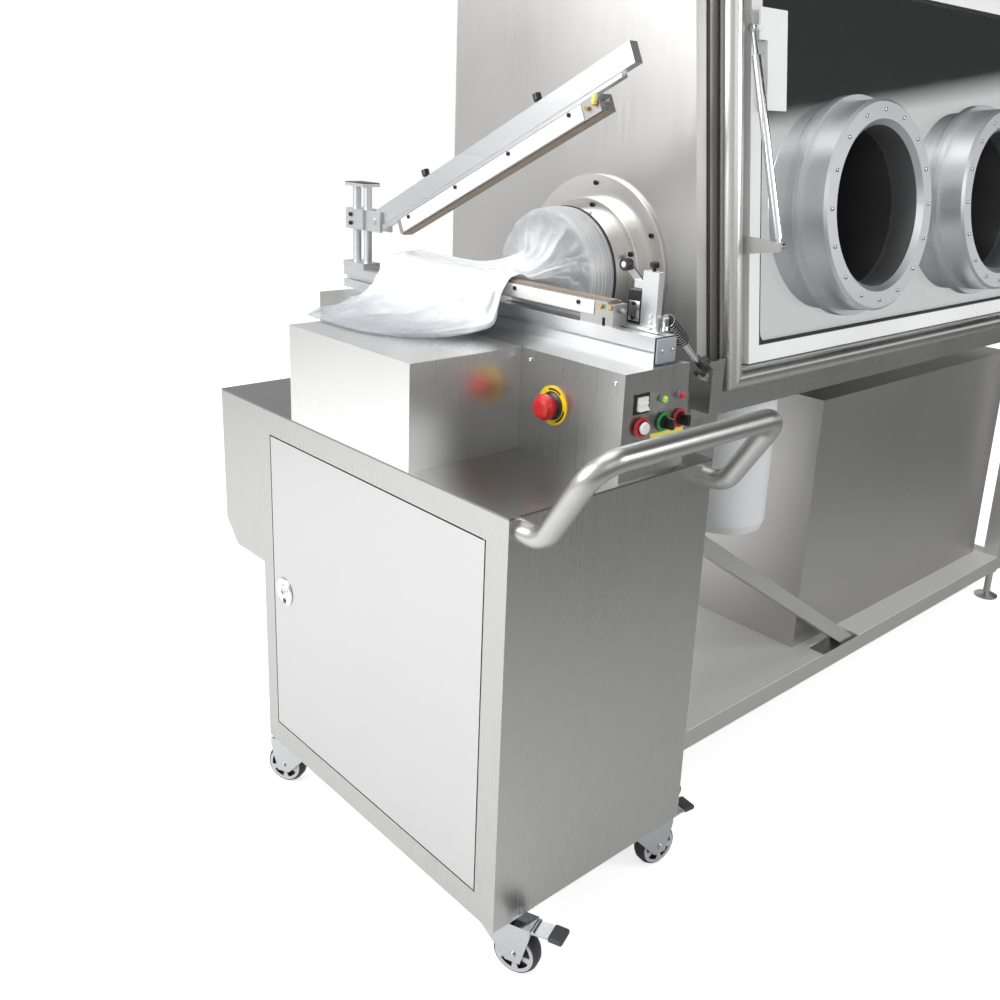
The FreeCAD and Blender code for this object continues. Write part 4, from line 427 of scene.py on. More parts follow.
sealing_tape = coated("sealing_tape", (0.27, 0.21, 0.16), 0.5, bump=0.3)
wear(sealing_tape, "lower_sealing_strip", "upper_sealing_strip")
sash_paint = coated("sash_paint", (0.90, 0.905, 0.905), 0.32, coat=0.2)
wear(sash_paint, "window_sash", "filter_housings")
ring_steel = brushed("ring_steel", (0.76, 0.765, 0.785), FINE, 0.38, bump=0.01, wear=0.03)
wear(ring_steel, "glove_port_rings")
black_plastic = coated("black_plastic", (0.014, 0.014, 0.015), 0.30, bump=0.06)
wear(black_plastic, "docking_knob", "green_selector", "red_selector", "panel_bezels", "limit_switch",
     "arm_guide_pins")
wear(coated("glove_rubber", (0.010, 0.010, 0.011), 0.42, bump=0.2), "glove_sleeves")
tyre_rubber = coated("tyre_rubber", (0.022, 0.022, 0.024), 0.45, bump=0.15)
wear(tyre_rubber, *(n for n in nodes if n.startswith("castor_wheel")))
wear(coated("stop_yellow", (0.86, 0.62, 0.02), 0.32), "emergency_stop_plate")
wear(coated("stop_red", (0.60, 0.018, 0.016), 0.30, coat=0.2), "emergency_stop_button")
switch_white = coated("switch_white", (0.78, 0.78, 0.76), 0.35)
wear(switch_white, "rocker_switch", "seal_button")
wear(coated("lamp_base", (0.20, 0.20, 0.20), 0.4), "pilot_lamps")
wear(coated("transformer_varnish", (0.05, 0.05, 0.055), 0.5), "impulse_transformer")
wear(coated("bin_plastic", (0.72, 0.73, 0.74), 0.42), "waste_bin")
wear(coated("bag_film", (0.80, 0.81, 0.83), 0.25), "liner_bag")
jaw_paint = coated("jaw_cover_paint", (0.74, 0.74, 0.72), 0.36, bump=0.03, coat=0.1)
brass = brushed("brass", (0.62, 0.43, 0.16), FINE, 0.25, bump=0.01)
cap_plastic = coated("cap_plastic", (0.33, 0.37, 0.40), 0.4)
hub_plastic = coated("hub_plastic", (0.50, 0.50, 0.53), 0.32)
pedal_rubber = coated("pedal_rubber", (0.055, 0.055, 0.058), 0.5, bump=0.15)
yellow_plastic = coated("yellow_plastic", (0.90, 0.82, 0.12), 0.4)
green_plastic = coated("green_plastic", (0.02, 0.30, 0.07), 0.3, coat=0.3)
red_plastic = coated("red_plastic", (0.55, 0.012, 0.02), 0.3, coat=0.3)
green_lens = coated("green_lens", (0.42, 0.72, 0.05), 0.15, bump=0.01, coat=0.6)
red_lens = coated("red_lens", (0.62, 0.005, 0.01), 0.15, bump=0.01, coat=0.6)
screw_black = coated("screw_black", (0.020, 0.020, 0.021), 0.35, bump=0.02, metallic=0.4)
print("other finishes are on")

# %% Black rubber and clear film
FILM_THINNEST, FILM_THICKEST = 0.50, 0.96
black_rubber = coated("black_rubber", (0.010, 0.010, 0.011), 0.45, bump=0.2)
film, tree, shader = new_finish("bag_film")
creases = noise_on(tree, (16.0, 16.0, 16.0), 3.0)
shader.inputs["IOR"].default_value = 1.5
tree.links.new(ranged(tree, creases, 0.14, 0.26), shader.inputs["Roughness"])
edge = node_in(tree, "ShaderNodeLayerWeight")
edge.inputs["Blend"].default_value = 0.4
cover = spread_over(tree, edge.outputs["Facing"], 0.0, 1.0, FILM_THINNEST, FILM_THICKEST)
print("the film covers from", FILM_THINNEST, "to", FILM_THICKEST)

# %% [markdown]
# The film is whitest where it lies double over the jaw. Towards its open end and at the puffed
# lobe by the collar it is clearer. So its cover is multiplied by a factor that depends on x, with
# a little noise, because the layers never part along a straight line.

# %% Clear ends of the film
TAIL_CLEAR, TAIL_WHITE = 0.090 - SHIFT.x, 0.215 - SHIFT.x
LOBE_WHITE, LOBE_CLEAR = 0.335 - SHIFT.x, 0.400 - SHIFT.x
TAIL_COVER, LOBE_COVER = 0.42, 0.62
TAIL_SHADE_TONE, FILM_TONE = (0.50, 0.515, 0.55), (0.80, 0.81, 0.83)
place = node_in(tree, "ShaderNodeTexCoord")
parts = node_in(tree, "ShaderNodeSeparateXYZ")
tree.links.new(place.outputs["Object"], parts.inputs[0])
wander = maths(tree, "ADD", parts.outputs["X"], ranged(tree, creases, -0.03, 0.03))
tail = spread_over(tree, wander, TAIL_CLEAR, TAIL_WHITE, TAIL_COVER, 1.0)
lobe = spread_over(tree, wander, LOBE_WHITE, LOBE_CLEAR, 1.0, LOBE_COVER)
# towards the open end the film's colour turns a darker grey: painted shade of the folds inside it
tail_shade_share = spread_over(tree, wander, TAIL_CLEAR, TAIL_WHITE, 0.0, 1.0)
two_tones(tree, shader, tail_shade_share, TAIL_SHADE_TONE, FILM_TONE)
alpha = maths(tree, "MULTIPLY", maths(tree, "MULTIPLY", tail, lobe), cover)
tree.links.new(alpha, shader.inputs["Alpha"])
raised(tree, shader, creases, 0.2, 0.002)
print("film is clearer at both ends")

# %% [markdown]
# The window is toughened glass with a coating against glare from the lamps inside. In the
# photograph it mirrors more than it lets through: a white wall below, and the dark above it. So
# it is a tinted mirror that is partly clear, and faint wipe marks vary its roughness.

# %% Window glass
MIRROR_SHARE = 0.64
glass, tree, shader = new_finish("window_glass")
shader.inputs["Base Color"].default_value = (0.90, 0.92, 0.92, 1)
shader.inputs["Metallic"].default_value = 1.0
shader.inputs["Alpha"].default_value = MIRROR_SHARE
wipes = noise_on(tree, (9.0, 9.0, 3.0), 4.0)
tree.links.new(ranged(tree, wipes, 0.015, 0.05), shader.inputs["Roughness"])
wear(glass, "window_glass")
print("mirror share of the glass:", MIRROR_SHARE)

# %% [markdown]
# ## Helpers for modelled pieces
#
# Each new piece starts as a primitive, is shaped in edit mode, and ends at the origin with its
# place in its mesh. One helper does that last step for all: it applies the transform, names the
# piece, gives it its finish and lets it ride on its body.

# %% Helpers for pieces
SCREW_SIDES = 24


def at(x, y, z):
    """A place in millimetres from the trolley's near left corner, in the metres of the frame."""
    return Vector((x, y, z)) / 1000.0 - SHIFT


def only(piece):
    """Selects one piece and nothing else."""
    bpy.ops.object.select_all(action="DESELECT")
    piece.select_set(True)
    bpy.context.view_layer.objects.active = piece


def done(piece, name, body, finish, smooth=35.0):
    """Bakes the place into the mesh, names the piece and lets it ride."""
    only(piece)
    bpy.ops.object.transform_apply(location=True, rotation=True, scale=True)
    piece.name = name
    piece.data.name = name
    piece.data.materials.clear()
    piece.data.materials.append(finish)
    if smooth:
        bpy.ops.object.shade_smooth_by_angle(angle=math.radians(smooth))
    if body:
        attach(piece, body)


def pick_faces(piece, test):
    """In edit mode, selects just the faces that pass a test on their middle and normal."""
    bpy.ops.mesh.select_mode(type="FACE")
    bpy.ops.mesh.select_all(action="DESELECT")
    mesh = bmesh.from_edit_mesh(piece.data)
    for face in mesh.faces:
        if test(face.calc_center_median(), face.normal):
            face.select = True
    bmesh.update_edit_mesh(piece.data)


def joined(parts):
    """Joins several objects into the first."""
    bpy.ops.object.select_all(action="DESELECT")
    for part in parts:
        part.select_set(True)
    bpy.context.view_layer.objects.active = parts[0]
    bpy.ops.object.join()
    return parts[0]


def pan_screw(radius):
    """A pan head screw with a round recess, standing on the origin and looking up."""
    height = radius * 0.7
    bpy.ops.mesh.primitive_cylinder_add(
        vertices=SCREW_SIDES, radius=radius, depth=height, location=(0, 0, height / 2))
    head = bpy.context.object
    bpy.ops.object.transform_apply(location=True)
    bpy.ops.object.mode_set(mode="EDIT")
    pick_faces(head, lambda middle, normal: normal.z > 0.9)
    bpy.ops.mesh.inset(thickness=radius * 0.22)
    bpy.ops.transform.translate(value=(0, 0, radius * 0.14))
    bpy.ops.mesh.inset(thickness=radius * 0.28)
    bpy.ops.mesh.extrude_region_move(TRANSFORM_OT_translate={"value": (0, 0, -radius * 0.45)})
    pick_faces(head, lambda middle, normal: normal.z < -0.9)
    bpy.ops.mesh.delete(type="FACE")
    bpy.ops.object.mode_set(mode="OBJECT")
    return head


def set_out(template, places, toward, name, body, finish):
    """Copies a template to each place, turned to look toward, and joins the copies."""
    turn = Vector(toward).to_track_quat("Z", "Y")
    copies = []
    for place in places:
        copy = template.copy()
        copy.data = template.data.copy()
        bpy.context.scene.collection.objects.link(copy)
        copy.rotation_mode = "QUATERNION"
        copy.rotation_quaternion = turn
        copy.location = place
        copies.append(copy)
    done(joined(copies), name, body, finish)


def circle(centre, radius, count, across, upward, start=0.0):
    """Places evenly round a circle in the plane of two directions."""
    places = []
    for number in range(count):
        angle = math.radians(start) + 2 * math.pi * number / count
        sideways = Vector(across) * radius * math.cos(angle)
        places.append(Vector(centre) + sideways + Vector(upward) * radius * math.sin(angle))
    return places


print("helpers for pieces are ready")

# %% [markdown]
# ## The liner bag
#
# The bag is one long tube of clear film. Its store is packed on the collar in rings like a
# concertina, and an elastic band holds the first ring. From the collar's end the film leaves as a
# puffed lobe, is drawn together towards the sealing jaws, lies flat over the lower jaw, and falls
# in loose folds on the step box. So the shape is a loft: a list of stations says where the tube's
# middle is and how wide and high it is there, and a smooth curve runs through the stations. Noise
# that is stretched along the film gives the creases.

# %% Liner bag: stations and height of what lies below
BAG_STATIONS = (
    # along x, middle y, middle z, half width, half height, crease height, all in millimetres
    (487, 407, 981, 117, 117, 0.0),
    (472, 407, 981, 118, 118, 0.4),
    (455, 407, 981, 118, 118, 0.6),
    (438, 407, 982, 117, 116, 1.0),
    (424, 401, 990, 107, 105, 2.5),
    (405, 385, 998, 89, 85, 4.0),
    (384, 367, 1003, 67, 58, 4.0),
    (360, 356, 1001, 46, 28, 3.0),
    (338, 410, 993, 76, 9, 2.0),
    (320, 494, 1000, 151, 5, 1.6),
    (303, 502, 998.5, 160, 3.5, 1.2),
    (285, 500, 994, 164, 5, 1.8),
    (262, 492, 976, 167, 11, 3.5),
    (236, 478, 951, 172, 14, 5.0),
    (208, 465, 934, 173, 14, 5.0),
    (172, 463, 926, 162, 10, 5.0),
    (130, 468, 922, 143, 8, 5.0),
    (92, 484, 920, 116, 6, 4.5),
    (62, 508, 918, 82, 1.2, 1.0),
)
STEP_TOP, STEP_RIGHT, STEP_FAR = 915.6, 214, 546
JAW_CREST, JAW_LEFT, JAW_RIGHT, JAW_FAR = 994.4, 290, 320, 660
LOWEST = 900.0


def between(low, high, value):
    """A smooth step from 0 to 1 between two values."""
    share = min(1.0, max(0.0, (value - low) / (high - low)))
    return share * share * (3 - 2 * share)


def bag_station(share):
    """The station at a share of the way, on a smooth curve through the listed ones."""
    place = share * (len(BAG_STATIONS) - 1)
    first = min(int(place), len(BAG_STATIONS) - 2)
    t = place - first
    rows = [BAG_STATIONS[min(max(first + k, 0), len(BAG_STATIONS) - 1)] for k in (-1, 0, 1, 2)]
    return [
        0.5 * (2 * b + (c - a) * t + (2 * a - 5 * b + 4 * c - d) * t * t
               + (3 * b - a - 3 * c + d) * t ** 3)
        for a, b, c, d in zip(*rows)
    ]


def support(x, y):
    """The height of what lies below the bag at a place."""
    if JAW_LEFT < x < JAW_RIGHT and y < JAW_FAR:
        return JAW_CREST
    if x < STEP_RIGHT and y < STEP_FAR:
        return STEP_TOP
    return LOWEST


FOLDS = (
    # from (share along, share round) to (share along, share round), height in millimetres, width
    ((0.23, 0.19), (0.53, 0.10), 8.0, 0.020),
    ((0.25, 0.34), (0.55, 0.43), 6.0, 0.018),
    ((0.27, 0.27), (0.50, 0.25), -5.0, 0.030),
    ((0.50, 0.09), (0.80, 0.15), 6.0, 0.020),
    ((0.53, 0.37), (0.86, 0.29), 5.0, 0.016),
    ((0.57, 0.22), (0.84, 0.24), -4.0, 0.030),
    ((0.72, 0.11), (0.97, 0.21), 5.0, 0.016),
    ((0.79, 0.41), (0.98, 0.33), 4.0, 0.014),
)


def fold_height(share, around):
    """How far the drawn folds lift the film at a place: ridges that fade out at both ends."""
    here = Vector((share, around))
    height = 0.0
    for start, end, tall, wide in FOLDS:
        line = Vector(end) - Vector(start)
        along = (here - Vector(start)).dot(line) / line.length_squared
        if 0 < along < 1:
            off = (here - Vector(start) - line * along).length
            height += tall * math.exp(-(off / wide) ** 2) * math.sin(math.pi * along) ** 0.5
    return height


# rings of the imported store, their height, and how far the open end is ragged, in millimetres
RINGS, RING_HEIGHT, RAGGED = 38, 2.2, 14


def bag_point(share, around):
    """Where the film is, for a share along the tube and a share round it."""
    x, middle_y, middle_z, wide, high, crease = bag_station(share)
    angle = 2 * math.pi * around
    packed = 1 - between(0.14, 0.2, share)
    ring = RING_HEIGHT * packed * math.sin(share * 2 * math.pi * RINGS)
    long_fold = noise.noise(Vector((share * 7, math.cos(angle) * 4.5, math.sin(angle) * 4.5)))
    short_fold = noise.noise(Vector((share * 26 + 7, math.cos(angle) * 9, math.sin(angle) * 9 + 3)))
    cross_fold = noise.noise(Vector((share * 40 + 20, around * 6, 1.5)))
    lift = crease * (1.2 * long_fold + 0.45 * short_fold + 0.25 * cross_fold)
    y = middle_y + (wide + ring + lift) * math.cos(angle)
    z = middle_z + (high + ring) * math.sin(angle) + lift + fold_height(share, around)
    x += crease * 1.5 * noise.noise(Vector((around * 9, share * 9, 4.0)))
    ragged = between(0.9, 1.0, share) * RAGGED
    x += ragged * noise.noise(Vector((2.0 * min(around, 1 - around), 0.3, 7.0)))
    return at(x, y, max(z, support(x, y)))


print("stations of the bag:", len(BAG_STATIONS), "folds:", len(FOLDS))

# %% Liner bag: film
BAG_LONG = 220
BAG_ROUND = 144
FILM_THICKNESS = 0.0003
bpy.ops.object.select_all(action="DESELECT")
bpy.ops.mesh.primitive_grid_add(x_subdivisions=BAG_LONG, y_subdivisions=BAG_ROUND, size=1.0)
bag = bpy.context.object
for vertex in bag.data.vertices:
    vertex.co = bag_point(vertex.co.x + 0.5, vertex.co.y + 0.5)
bpy.ops.object.mode_set(mode="EDIT")
bpy.ops.mesh.select_all(action="SELECT")
bpy.ops.mesh.remove_doubles(threshold=0.00005)
bpy.ops.mesh.normals_make_consistent(inside=False)
bpy.ops.object.mode_set(mode="OBJECT")
thicken = bag.modifiers.new("film", "SOLIDIFY")
thicken.thickness = FILM_THICKNESS
thicken.offset = 0
bpy.ops.object.modifier_apply(modifier="film")
done(bag, "liner_bag_film", None, film, smooth=80)
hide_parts("liner_bag")
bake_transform(bag)
print("film faces:", len(bag.data.polygons))

# %% Elastic band on the collar
bpy.ops.mesh.primitive_torus_add(
    major_segments=96, minor_segments=12, major_radius=0.1185, minor_radius=0.0028,
    location=at(488, 407, 981), rotation=(0, math.pi / 2, 0))
band = bpy.context.object
done(band, "bag_band", "isolator", black_rubber)
print("band is on the collar")

# %% [markdown]
# ## More ways to shape a piece
#
# Three helpers make most of the small parts. A turned part is a profile of points that is spun
# round the z axis, as on a lathe. A plate is a cube that is scaled to its two corners and gets
# rounded edges from a Bevel modifier. Pieces on the arm and on the window are made where the arm
# and the window stand upright, and one matrix then leans them with the part they sit on.

# %% Turned parts and plates
def lathe(profile, steps=40):
    """Spins a profile of (radius, height) points in millimetres round the z axis."""
    points = [Vector((radius, 0, height)) / 1000.0 for radius, height in profile]
    bpy.ops.object.select_all(action="DESELECT")
    bpy.ops.mesh.primitive_plane_add(size=0.0005, location=(0, 0, 0))
    piece = bpy.context.object
    bpy.ops.object.mode_set(mode="EDIT")
    bpy.ops.mesh.select_mode(type="VERT")
    bpy.ops.mesh.select_all(action="SELECT")
    bpy.ops.mesh.merge(type="CENTER")
    bpy.ops.transform.translate(value=points[0])
    for first, second in zip(points, points[1:]):
        bpy.ops.mesh.extrude_region_move(TRANSFORM_OT_translate={"value": second - first})
    bpy.ops.mesh.select_all(action="SELECT")
    bpy.ops.mesh.spin(steps=steps, angle=2 * math.pi, center=(0, 0, 0), axis=(0, 0, 1))
    bpy.ops.mesh.select_all(action="SELECT")
    bpy.ops.mesh.remove_doubles(threshold=0.000005)
    bpy.ops.mesh.normals_make_consistent(inside=False)
    bpy.ops.object.mode_set(mode="OBJECT")
    return piece


def aimed(piece, place, toward):
    """Puts a piece at a place with its z axis along a direction."""
    piece.rotation_mode = "QUATERNION"
    piece.rotation_quaternion = Vector(toward).to_track_quat("Z", "Y")
    piece.location = place
    return piece


def plate(low, high, round_off=0.8, segments=3):
    """A block between two corners in millimetres, with its edges rounded."""
    size = [(b - a) / 1000.0 for a, b in zip(low, high)]
    middle = [(a + b) / 2000.0 for a, b in zip(low, high)]
    bpy.ops.object.select_all(action="DESELECT")
    bpy.ops.mesh.primitive_cube_add(size=1.0)
    block = bpy.context.object
    block.scale = size
    block.location = middle
    bpy.ops.object.transform_apply(location=True, rotation=True, scale=True)
    edges = block.modifiers.new("round_off", "BEVEL")
    edges.width = round_off / 1000.0
    edges.segments = segments
    bpy.ops.object.modifier_apply(modifier="round_off")
    return block


ROOM = Matrix.Translation(-SHIFT)
ARM_PIVOT = (305, 726, 1050)
ON_ARM = Matrix.Translation(at(*ARM_PIVOT)) @ Matrix.Rotation(math.radians(-25), 4, "X")
ON_WINDOW = Matrix.Translation(at(560, 147, 805)) @ Matrix.Rotation(math.radians(-6.56), 4, "X")


def placed(piece, matrix=ROOM):
    """Moves a piece that was made in local millimetres to where it belongs."""
    piece.matrix_world = matrix @ piece.matrix_basis
    return piece


print("turned parts and plates can be made")

# %% [markdown]
# ## Covers, screws and terminals of the two jaws
#
# Each jaw is an aluminium channel with a heating band under brown tape. A painted cover is screwed
# on its outer side, and the current comes in through brass terminals at the near end. The covers
# are thin plates with rounded edges, and all screws are copies of one.

# %% Jaw covers
lower_cover = plate((288.4, 146, 968.5), (290.2, 640, 989.5), 0.7)
done(placed(lower_cover), "lower_jaw_cover", "trolley", jaw_paint)
upper_cover = plate((-16.6, -571, -48.5), (-14.8, -84, -24.5), 0.7)
done(placed(upper_cover, ON_ARM), "upper_jaw_cover", "floating_jaw", jaw_paint)

COVER_SCREW = 0.0034
template = pan_screw(COVER_SCREW)
set_out(template, [at(288.5, y, 983) for y in (178, 323, 468, 612)], (-1, 0, 0),
        "lower_cover_screws", "trolley", screw_black)
lean = ON_ARM.to_3x3()
places = [ON_ARM @ Vector((-0.0165, y / 1000, -0.0295)) for y in (-545, -400, -255, -110)]
set_out(template, places, (-1, 0, 0), "upper_cover_screws", "floating_jaw", screw_black)
print("covers are screwed on")

# %% Terminals of the heating bands
def terminal(radius):
    """A screw with a wide head on a shank, looking up the z axis."""
    return lathe([(0.05, 0), (radius * 0.55, 0), (radius * 0.55, 3), (radius, 3.2), (radius, 5.4),
                  (radius * 0.85, 6.2), (0.05, 6.2)], SCREW_SIDES)


brass_head = terminal(3.6)
set_out(brass_head, [at(290, y, 983) for y in (113, 131)], (-1, 0, 0),
        "lower_terminals", "trolley", brass)
places = [ON_ARM @ Vector((-0.0148, y / 1000, -0.036)) for y in (-599, -583)]
set_out(brass_head, places, (-1, 0, 0), "upper_terminals", "floating_jaw", brass)
sleeve = lathe([(0.05, 0), (2.6, 0), (3.0, 1), (3.0, 9), (2.2, 10), (2.2, 15), (0.05, 15)], 24)
aimed(sleeve, ON_ARM @ Vector((-0.0205, -0.599, -0.036)), lean @ Vector((0, -0.5, 0.87)))
done(sleeve, "upper_wire_sleeve", "floating_jaw", yellow_plastic)
bpy.data.objects.remove(template)
bpy.data.objects.remove(brass_head)
print("terminals are on")

# %% [markdown]
# ## The end of the bench bar
#
# The bench bar is an aluminium section. Its near end is closed with a grey plastic cap on a thin
# black gasket, held by two screws.

# %% Bar end cap
gasket = plate((287.2, 20.8, 915.4), (331.8, 22.1, 954.8), 0.4, 2)
done(placed(gasket), "bar_end_gasket", "trolley", black_rubber)
cap = plate((288.6, 17.6, 916.8), (330.4, 21.2, 953.4), 1.6, 4)
done(placed(cap), "bar_end_cap", "trolley", cap_plastic)
END_SCREW = 0.0030
template = pan_screw(END_SCREW)
set_out(template, [at(x, 17.7, 935) for x in (298, 321)], (0, -1, 0),
        "bar_end_screws", "trolley", bright_chrome)
print("bar end is closed")

# %% [markdown]
# ## The latch, its roller and its switch
#
# When the arm comes down it rides over a roller, which tips a lever, and the lever presses a small
# switch. The roller has a black tyre on a white hub. A black cap covers the lever's pin, and the
# switch shows a bright steel plate with two screws.

# %% Roller and lever
LEVER_TURN = math.radians(41)
LEVER_LONG = 38
PIN_Y, PIN_Z = 102, 1018
ROLLER = Vector((337.5, PIN_Y + LEVER_LONG * math.cos(LEVER_TURN),
                 PIN_Z + LEVER_LONG * math.sin(LEVER_TURN)))
tyre = lathe([(4.6, -6.4), (9.0, -6.4), (9.7, -5.2), (9.7, 5.2), (9.0, 6.4), (4.6, 6.4),
              (4.6, -6.4)], 48)
aimed(tyre, at(*ROLLER), (1, 0, 0))
done(tyre, "roller_tyre", "roller_lever", tyre_rubber)
hub = lathe([(0.05, -7.2), (3.4, -7.2), (4.5, -6.6), (4.5, 6.6), (3.4, 7.2), (0.05, 7.2)], 32)
done(aimed(hub, at(*ROLLER), (1, 0, 0)), "roller_hub", "roller_lever", switch_white)
boss = lathe([(0.05, 0), (6.4, 0), (6.4, 2.4), (5.4, 3.4), (0.05, 3.4)], 32)
done(aimed(boss, at(343.2, PIN_Y, PIN_Z), (1, 0, 0)), "lever_pin_cap", "roller_lever",
     black_plastic)
print("roller at:", [round(v, 1) for v in ROLLER])

# %% Switch plate and latch screws
face = plate((332.1, 95, 962), (333.1, 116, 992), 0.4, 2)
done(placed(face), "switch_plate", "trolley", bright_chrome)
set_out(template, [at(332.2, 105.5, z) for z in (966, 988)], (-1, 0, 0),
        "switch_screws", "trolley", screw_black)
set_out(template, [at(332.9, 72, z) for z in (964, 974)], (-1, 0, 0),
        "latch_screws", "trolley", switch_white)
small_knob = lathe([(0.05, 0), (3.0, 0), (3.0, 5), (6.5, 6), (7.5, 9), (7.0, 13), (4.5, 15),
                    (0.05, 15.4)], 32)
done(aimed(small_knob, at(339, 77, 1038.6), (0, 0, 1)), "latch_knob", "trolley",
     black_plastic)
print("switch and latch are dressed")

# %% [markdown]
# ## Post, clamp and docking rod
#
# The pivot post ends in a dark plate, and two black socket screws pinch its clamp. The docking rod
# is bright, with a black grip turned with shallow grooves, so that a gloved hand holds it.

# %% Post and clamp
top = plate((286.4, 755.4, 1116.8), (323.6, 816.6, 1118.4), 0.6)
done(placed(top), "post_top_plate", "trolley", screw_black)
SOCKET_SCREW = 0.0042
socket = pan_screw(SOCKET_SCREW)
set_out(socket, [at(286.1, 797, z) for z in (1041.6, 1057.8)], (-1, 0, 0),
        "clamp_screws", "trolley", screw_black)
bpy.data.objects.remove(socket)
print("post and clamp are dressed")

# %% Grip of the docking rod
ROD_START = Vector((352, 60, 972))
ROD_END = Vector((532, 105, 847))
GROOVES, FIRST_GROOVE, GROOVE_STEP = 9, 17, 7
rod_line = (ROD_END - ROD_START).normalized()
profile = [(5.0, 10), (9.0, 10.2), (11.4, 12.5)]
for groove in range(GROOVES):
    start = FIRST_GROOVE + groove * GROOVE_STEP
    profile += [(11.6, start), (10.9, start + 1.2), (10.9, start + 2.4), (11.6, start + 3.6)]
profile += [(11.4, 79.5), (9.0, 81.8), (5.0, 82)]
grip = lathe(profile, 40)
done(aimed(grip, at(*ROD_START), rod_line), "docking_grip", "trolley", black_rubber)
print("grip grooves:", GROOVES)

# %% [markdown]
# ## The control panel
#
# Two lamps, two turning switches with coloured rings, a red ringed button and a white rocker sit
# on the near end of the housing. The lenses are low domes. The strip below them is left blank.

# %% Panel lamps and rings
def dome(radius, height):
    """A lens with a rounded front, looking up the z axis."""
    arc = [(radius * math.cos(a), height * 0.4 + height * 0.6 * math.sin(a))
           for a in (math.radians(15 * step) for step in range(6))]
    return lathe([(0.05, 0), (radius * 1.02, 0)] + arc + [(0.05, height)], 32)


def ring(inner, outer, height):
    """A flat ring with rounded rims, looking up the z axis."""
    soft = 0.6
    return lathe([(inner, 0), (outer, 0), (outer, height - soft), (outer - soft, height),
                  (inner + soft, height), (inner, height - soft), (inner, 0)], 48)


FRONT = (0, -1, 0)
LENSES = (("green_lamp_lens", 291, green_lens), ("red_lamp_lens", 330, red_lens))
SELECTORS = (("green_selector_ring", 295, green_plastic), ("red_selector_ring", 331, red_plastic))
for name, x, finish in LENSES:
    done(aimed(dome(5.2, 4.5), at(x, -0.9, 870), FRONT), name, "trolley", finish)
for name, x, finish in SELECTORS:
    done(aimed(ring(9.4, 13.6, 4.2), at(x, 3.4, 835), FRONT), name, "trolley", finish)
button_ring = aimed(ring(9.5, 14.6, 3.4), at(246, 1.6, 835), FRONT)
done(button_ring, "red_button_ring", "trolley", red_plastic)
label = plate((272, 4.0, 811.5), (345, 5.2, 819.5), 0.4, 2)
done(placed(label), "panel_strip", "trolley", yellow_plastic)
print("panel is dressed")

# %% Emergency stop collar and housing screws
STOP_PLACE = at(208, 143, 840)
BOW_LONG = 62
collar = lathe([(11.2, 0), (21.5, 0), (21.5, 1.2), (19, 2.0), (14.5, 7), (11.2, 7), (11.2, 0)], 48)
done(aimed(collar, STOP_PLACE, (-1, 0, 0)), "stop_collar", "trolley", black_plastic)
for number, turn in enumerate((50, 170, 290)):
    bow = lathe([(23.6, 0), (26.2, 0), (26.2, 0.35), (23.6, 0.35), (23.6, 0)], 72)

    def beyond_bow(middle, normal):
        return (math.degrees(math.atan2(middle.y, middle.x)) - turn) % 360 > BOW_LONG
    only(bow)
    bpy.ops.object.mode_set(mode="EDIT")
    pick_faces(bow, beyond_bow)
    bpy.ops.mesh.delete(type="FACE")
    bpy.ops.mesh.select_all(action="SELECT")
    bpy.ops.mesh.fill_holes(sides=8)
    bpy.ops.mesh.normals_make_consistent(inside=False)
    bpy.ops.object.mode_set(mode="OBJECT")
    done(aimed(bow, STOP_PLACE, (-1, 0, 0)), "stop_plate_bow_" + str(number + 1), "trolley",
         black_plastic)
set_out(template, [at(210, y, z) for y, z in ((22, 899), (196, 899), (22, 771))], (-1, 0, 0),
        "housing_screws", "trolley", bright_chrome)
bpy.data.objects.remove(template)
print("stop button is dressed")

# %% [markdown]
# ## Screws of the bag port and bolts of the glove ports
#
# The bag port's flange and the ring on it are each held by six screws, and each glove port's ring
# by sixteen small bolts on its face. They all look along the axis of their ring.

# %% Ring screws
FLANGE_SCREW, RING_BOLT = 0.0045, 0.0036
BOLTS = 16
screw = pan_screw(FLANGE_SCREW)
set_out(screw, circle(at(552, 407, 981), 0.160, 6, (0, 1, 0), (0, 0, 1), 30), (-1, 0, 0),
        "flange_screws", "isolator", screw_black)
set_out(screw, circle(at(528, 407, 981), 0.1245, 6, (0, 1, 0), (0, 0, 1), 38), (-1, 0, 0),
        "ring_screws", "isolator", screw_black)
bpy.data.objects.remove(screw)
window_turn = ON_WINDOW.to_3x3()
places = []
for port in (457, 983):
    middle = ON_WINDOW @ Vector((port / 1000, -0.0798, 0.301))
    places += circle(middle, 0.176, BOLTS, window_turn @ Vector((1, 0, 0)),
                     window_turn @ Vector((0, 0, 1)))
bolt = pan_screw(RING_BOLT)
set_out(bolt, places, window_turn @ Vector((0, -1, 0)),
        "glove_ring_bolts", "window", plated_steel)
bpy.data.objects.remove(bolt)
print("bolts on the glove rings:", len(places))

# %% [markdown]
# ## Gaskets of the window
#
# The pane sits in a black rubber gasket with rounded corners. The chamber's face carries a second
# gasket where the closed front seals. Each is a rectangle whose face is inset, so that a frame is
# left when the middle is deleted, and a Solidify modifier gives it its depth.

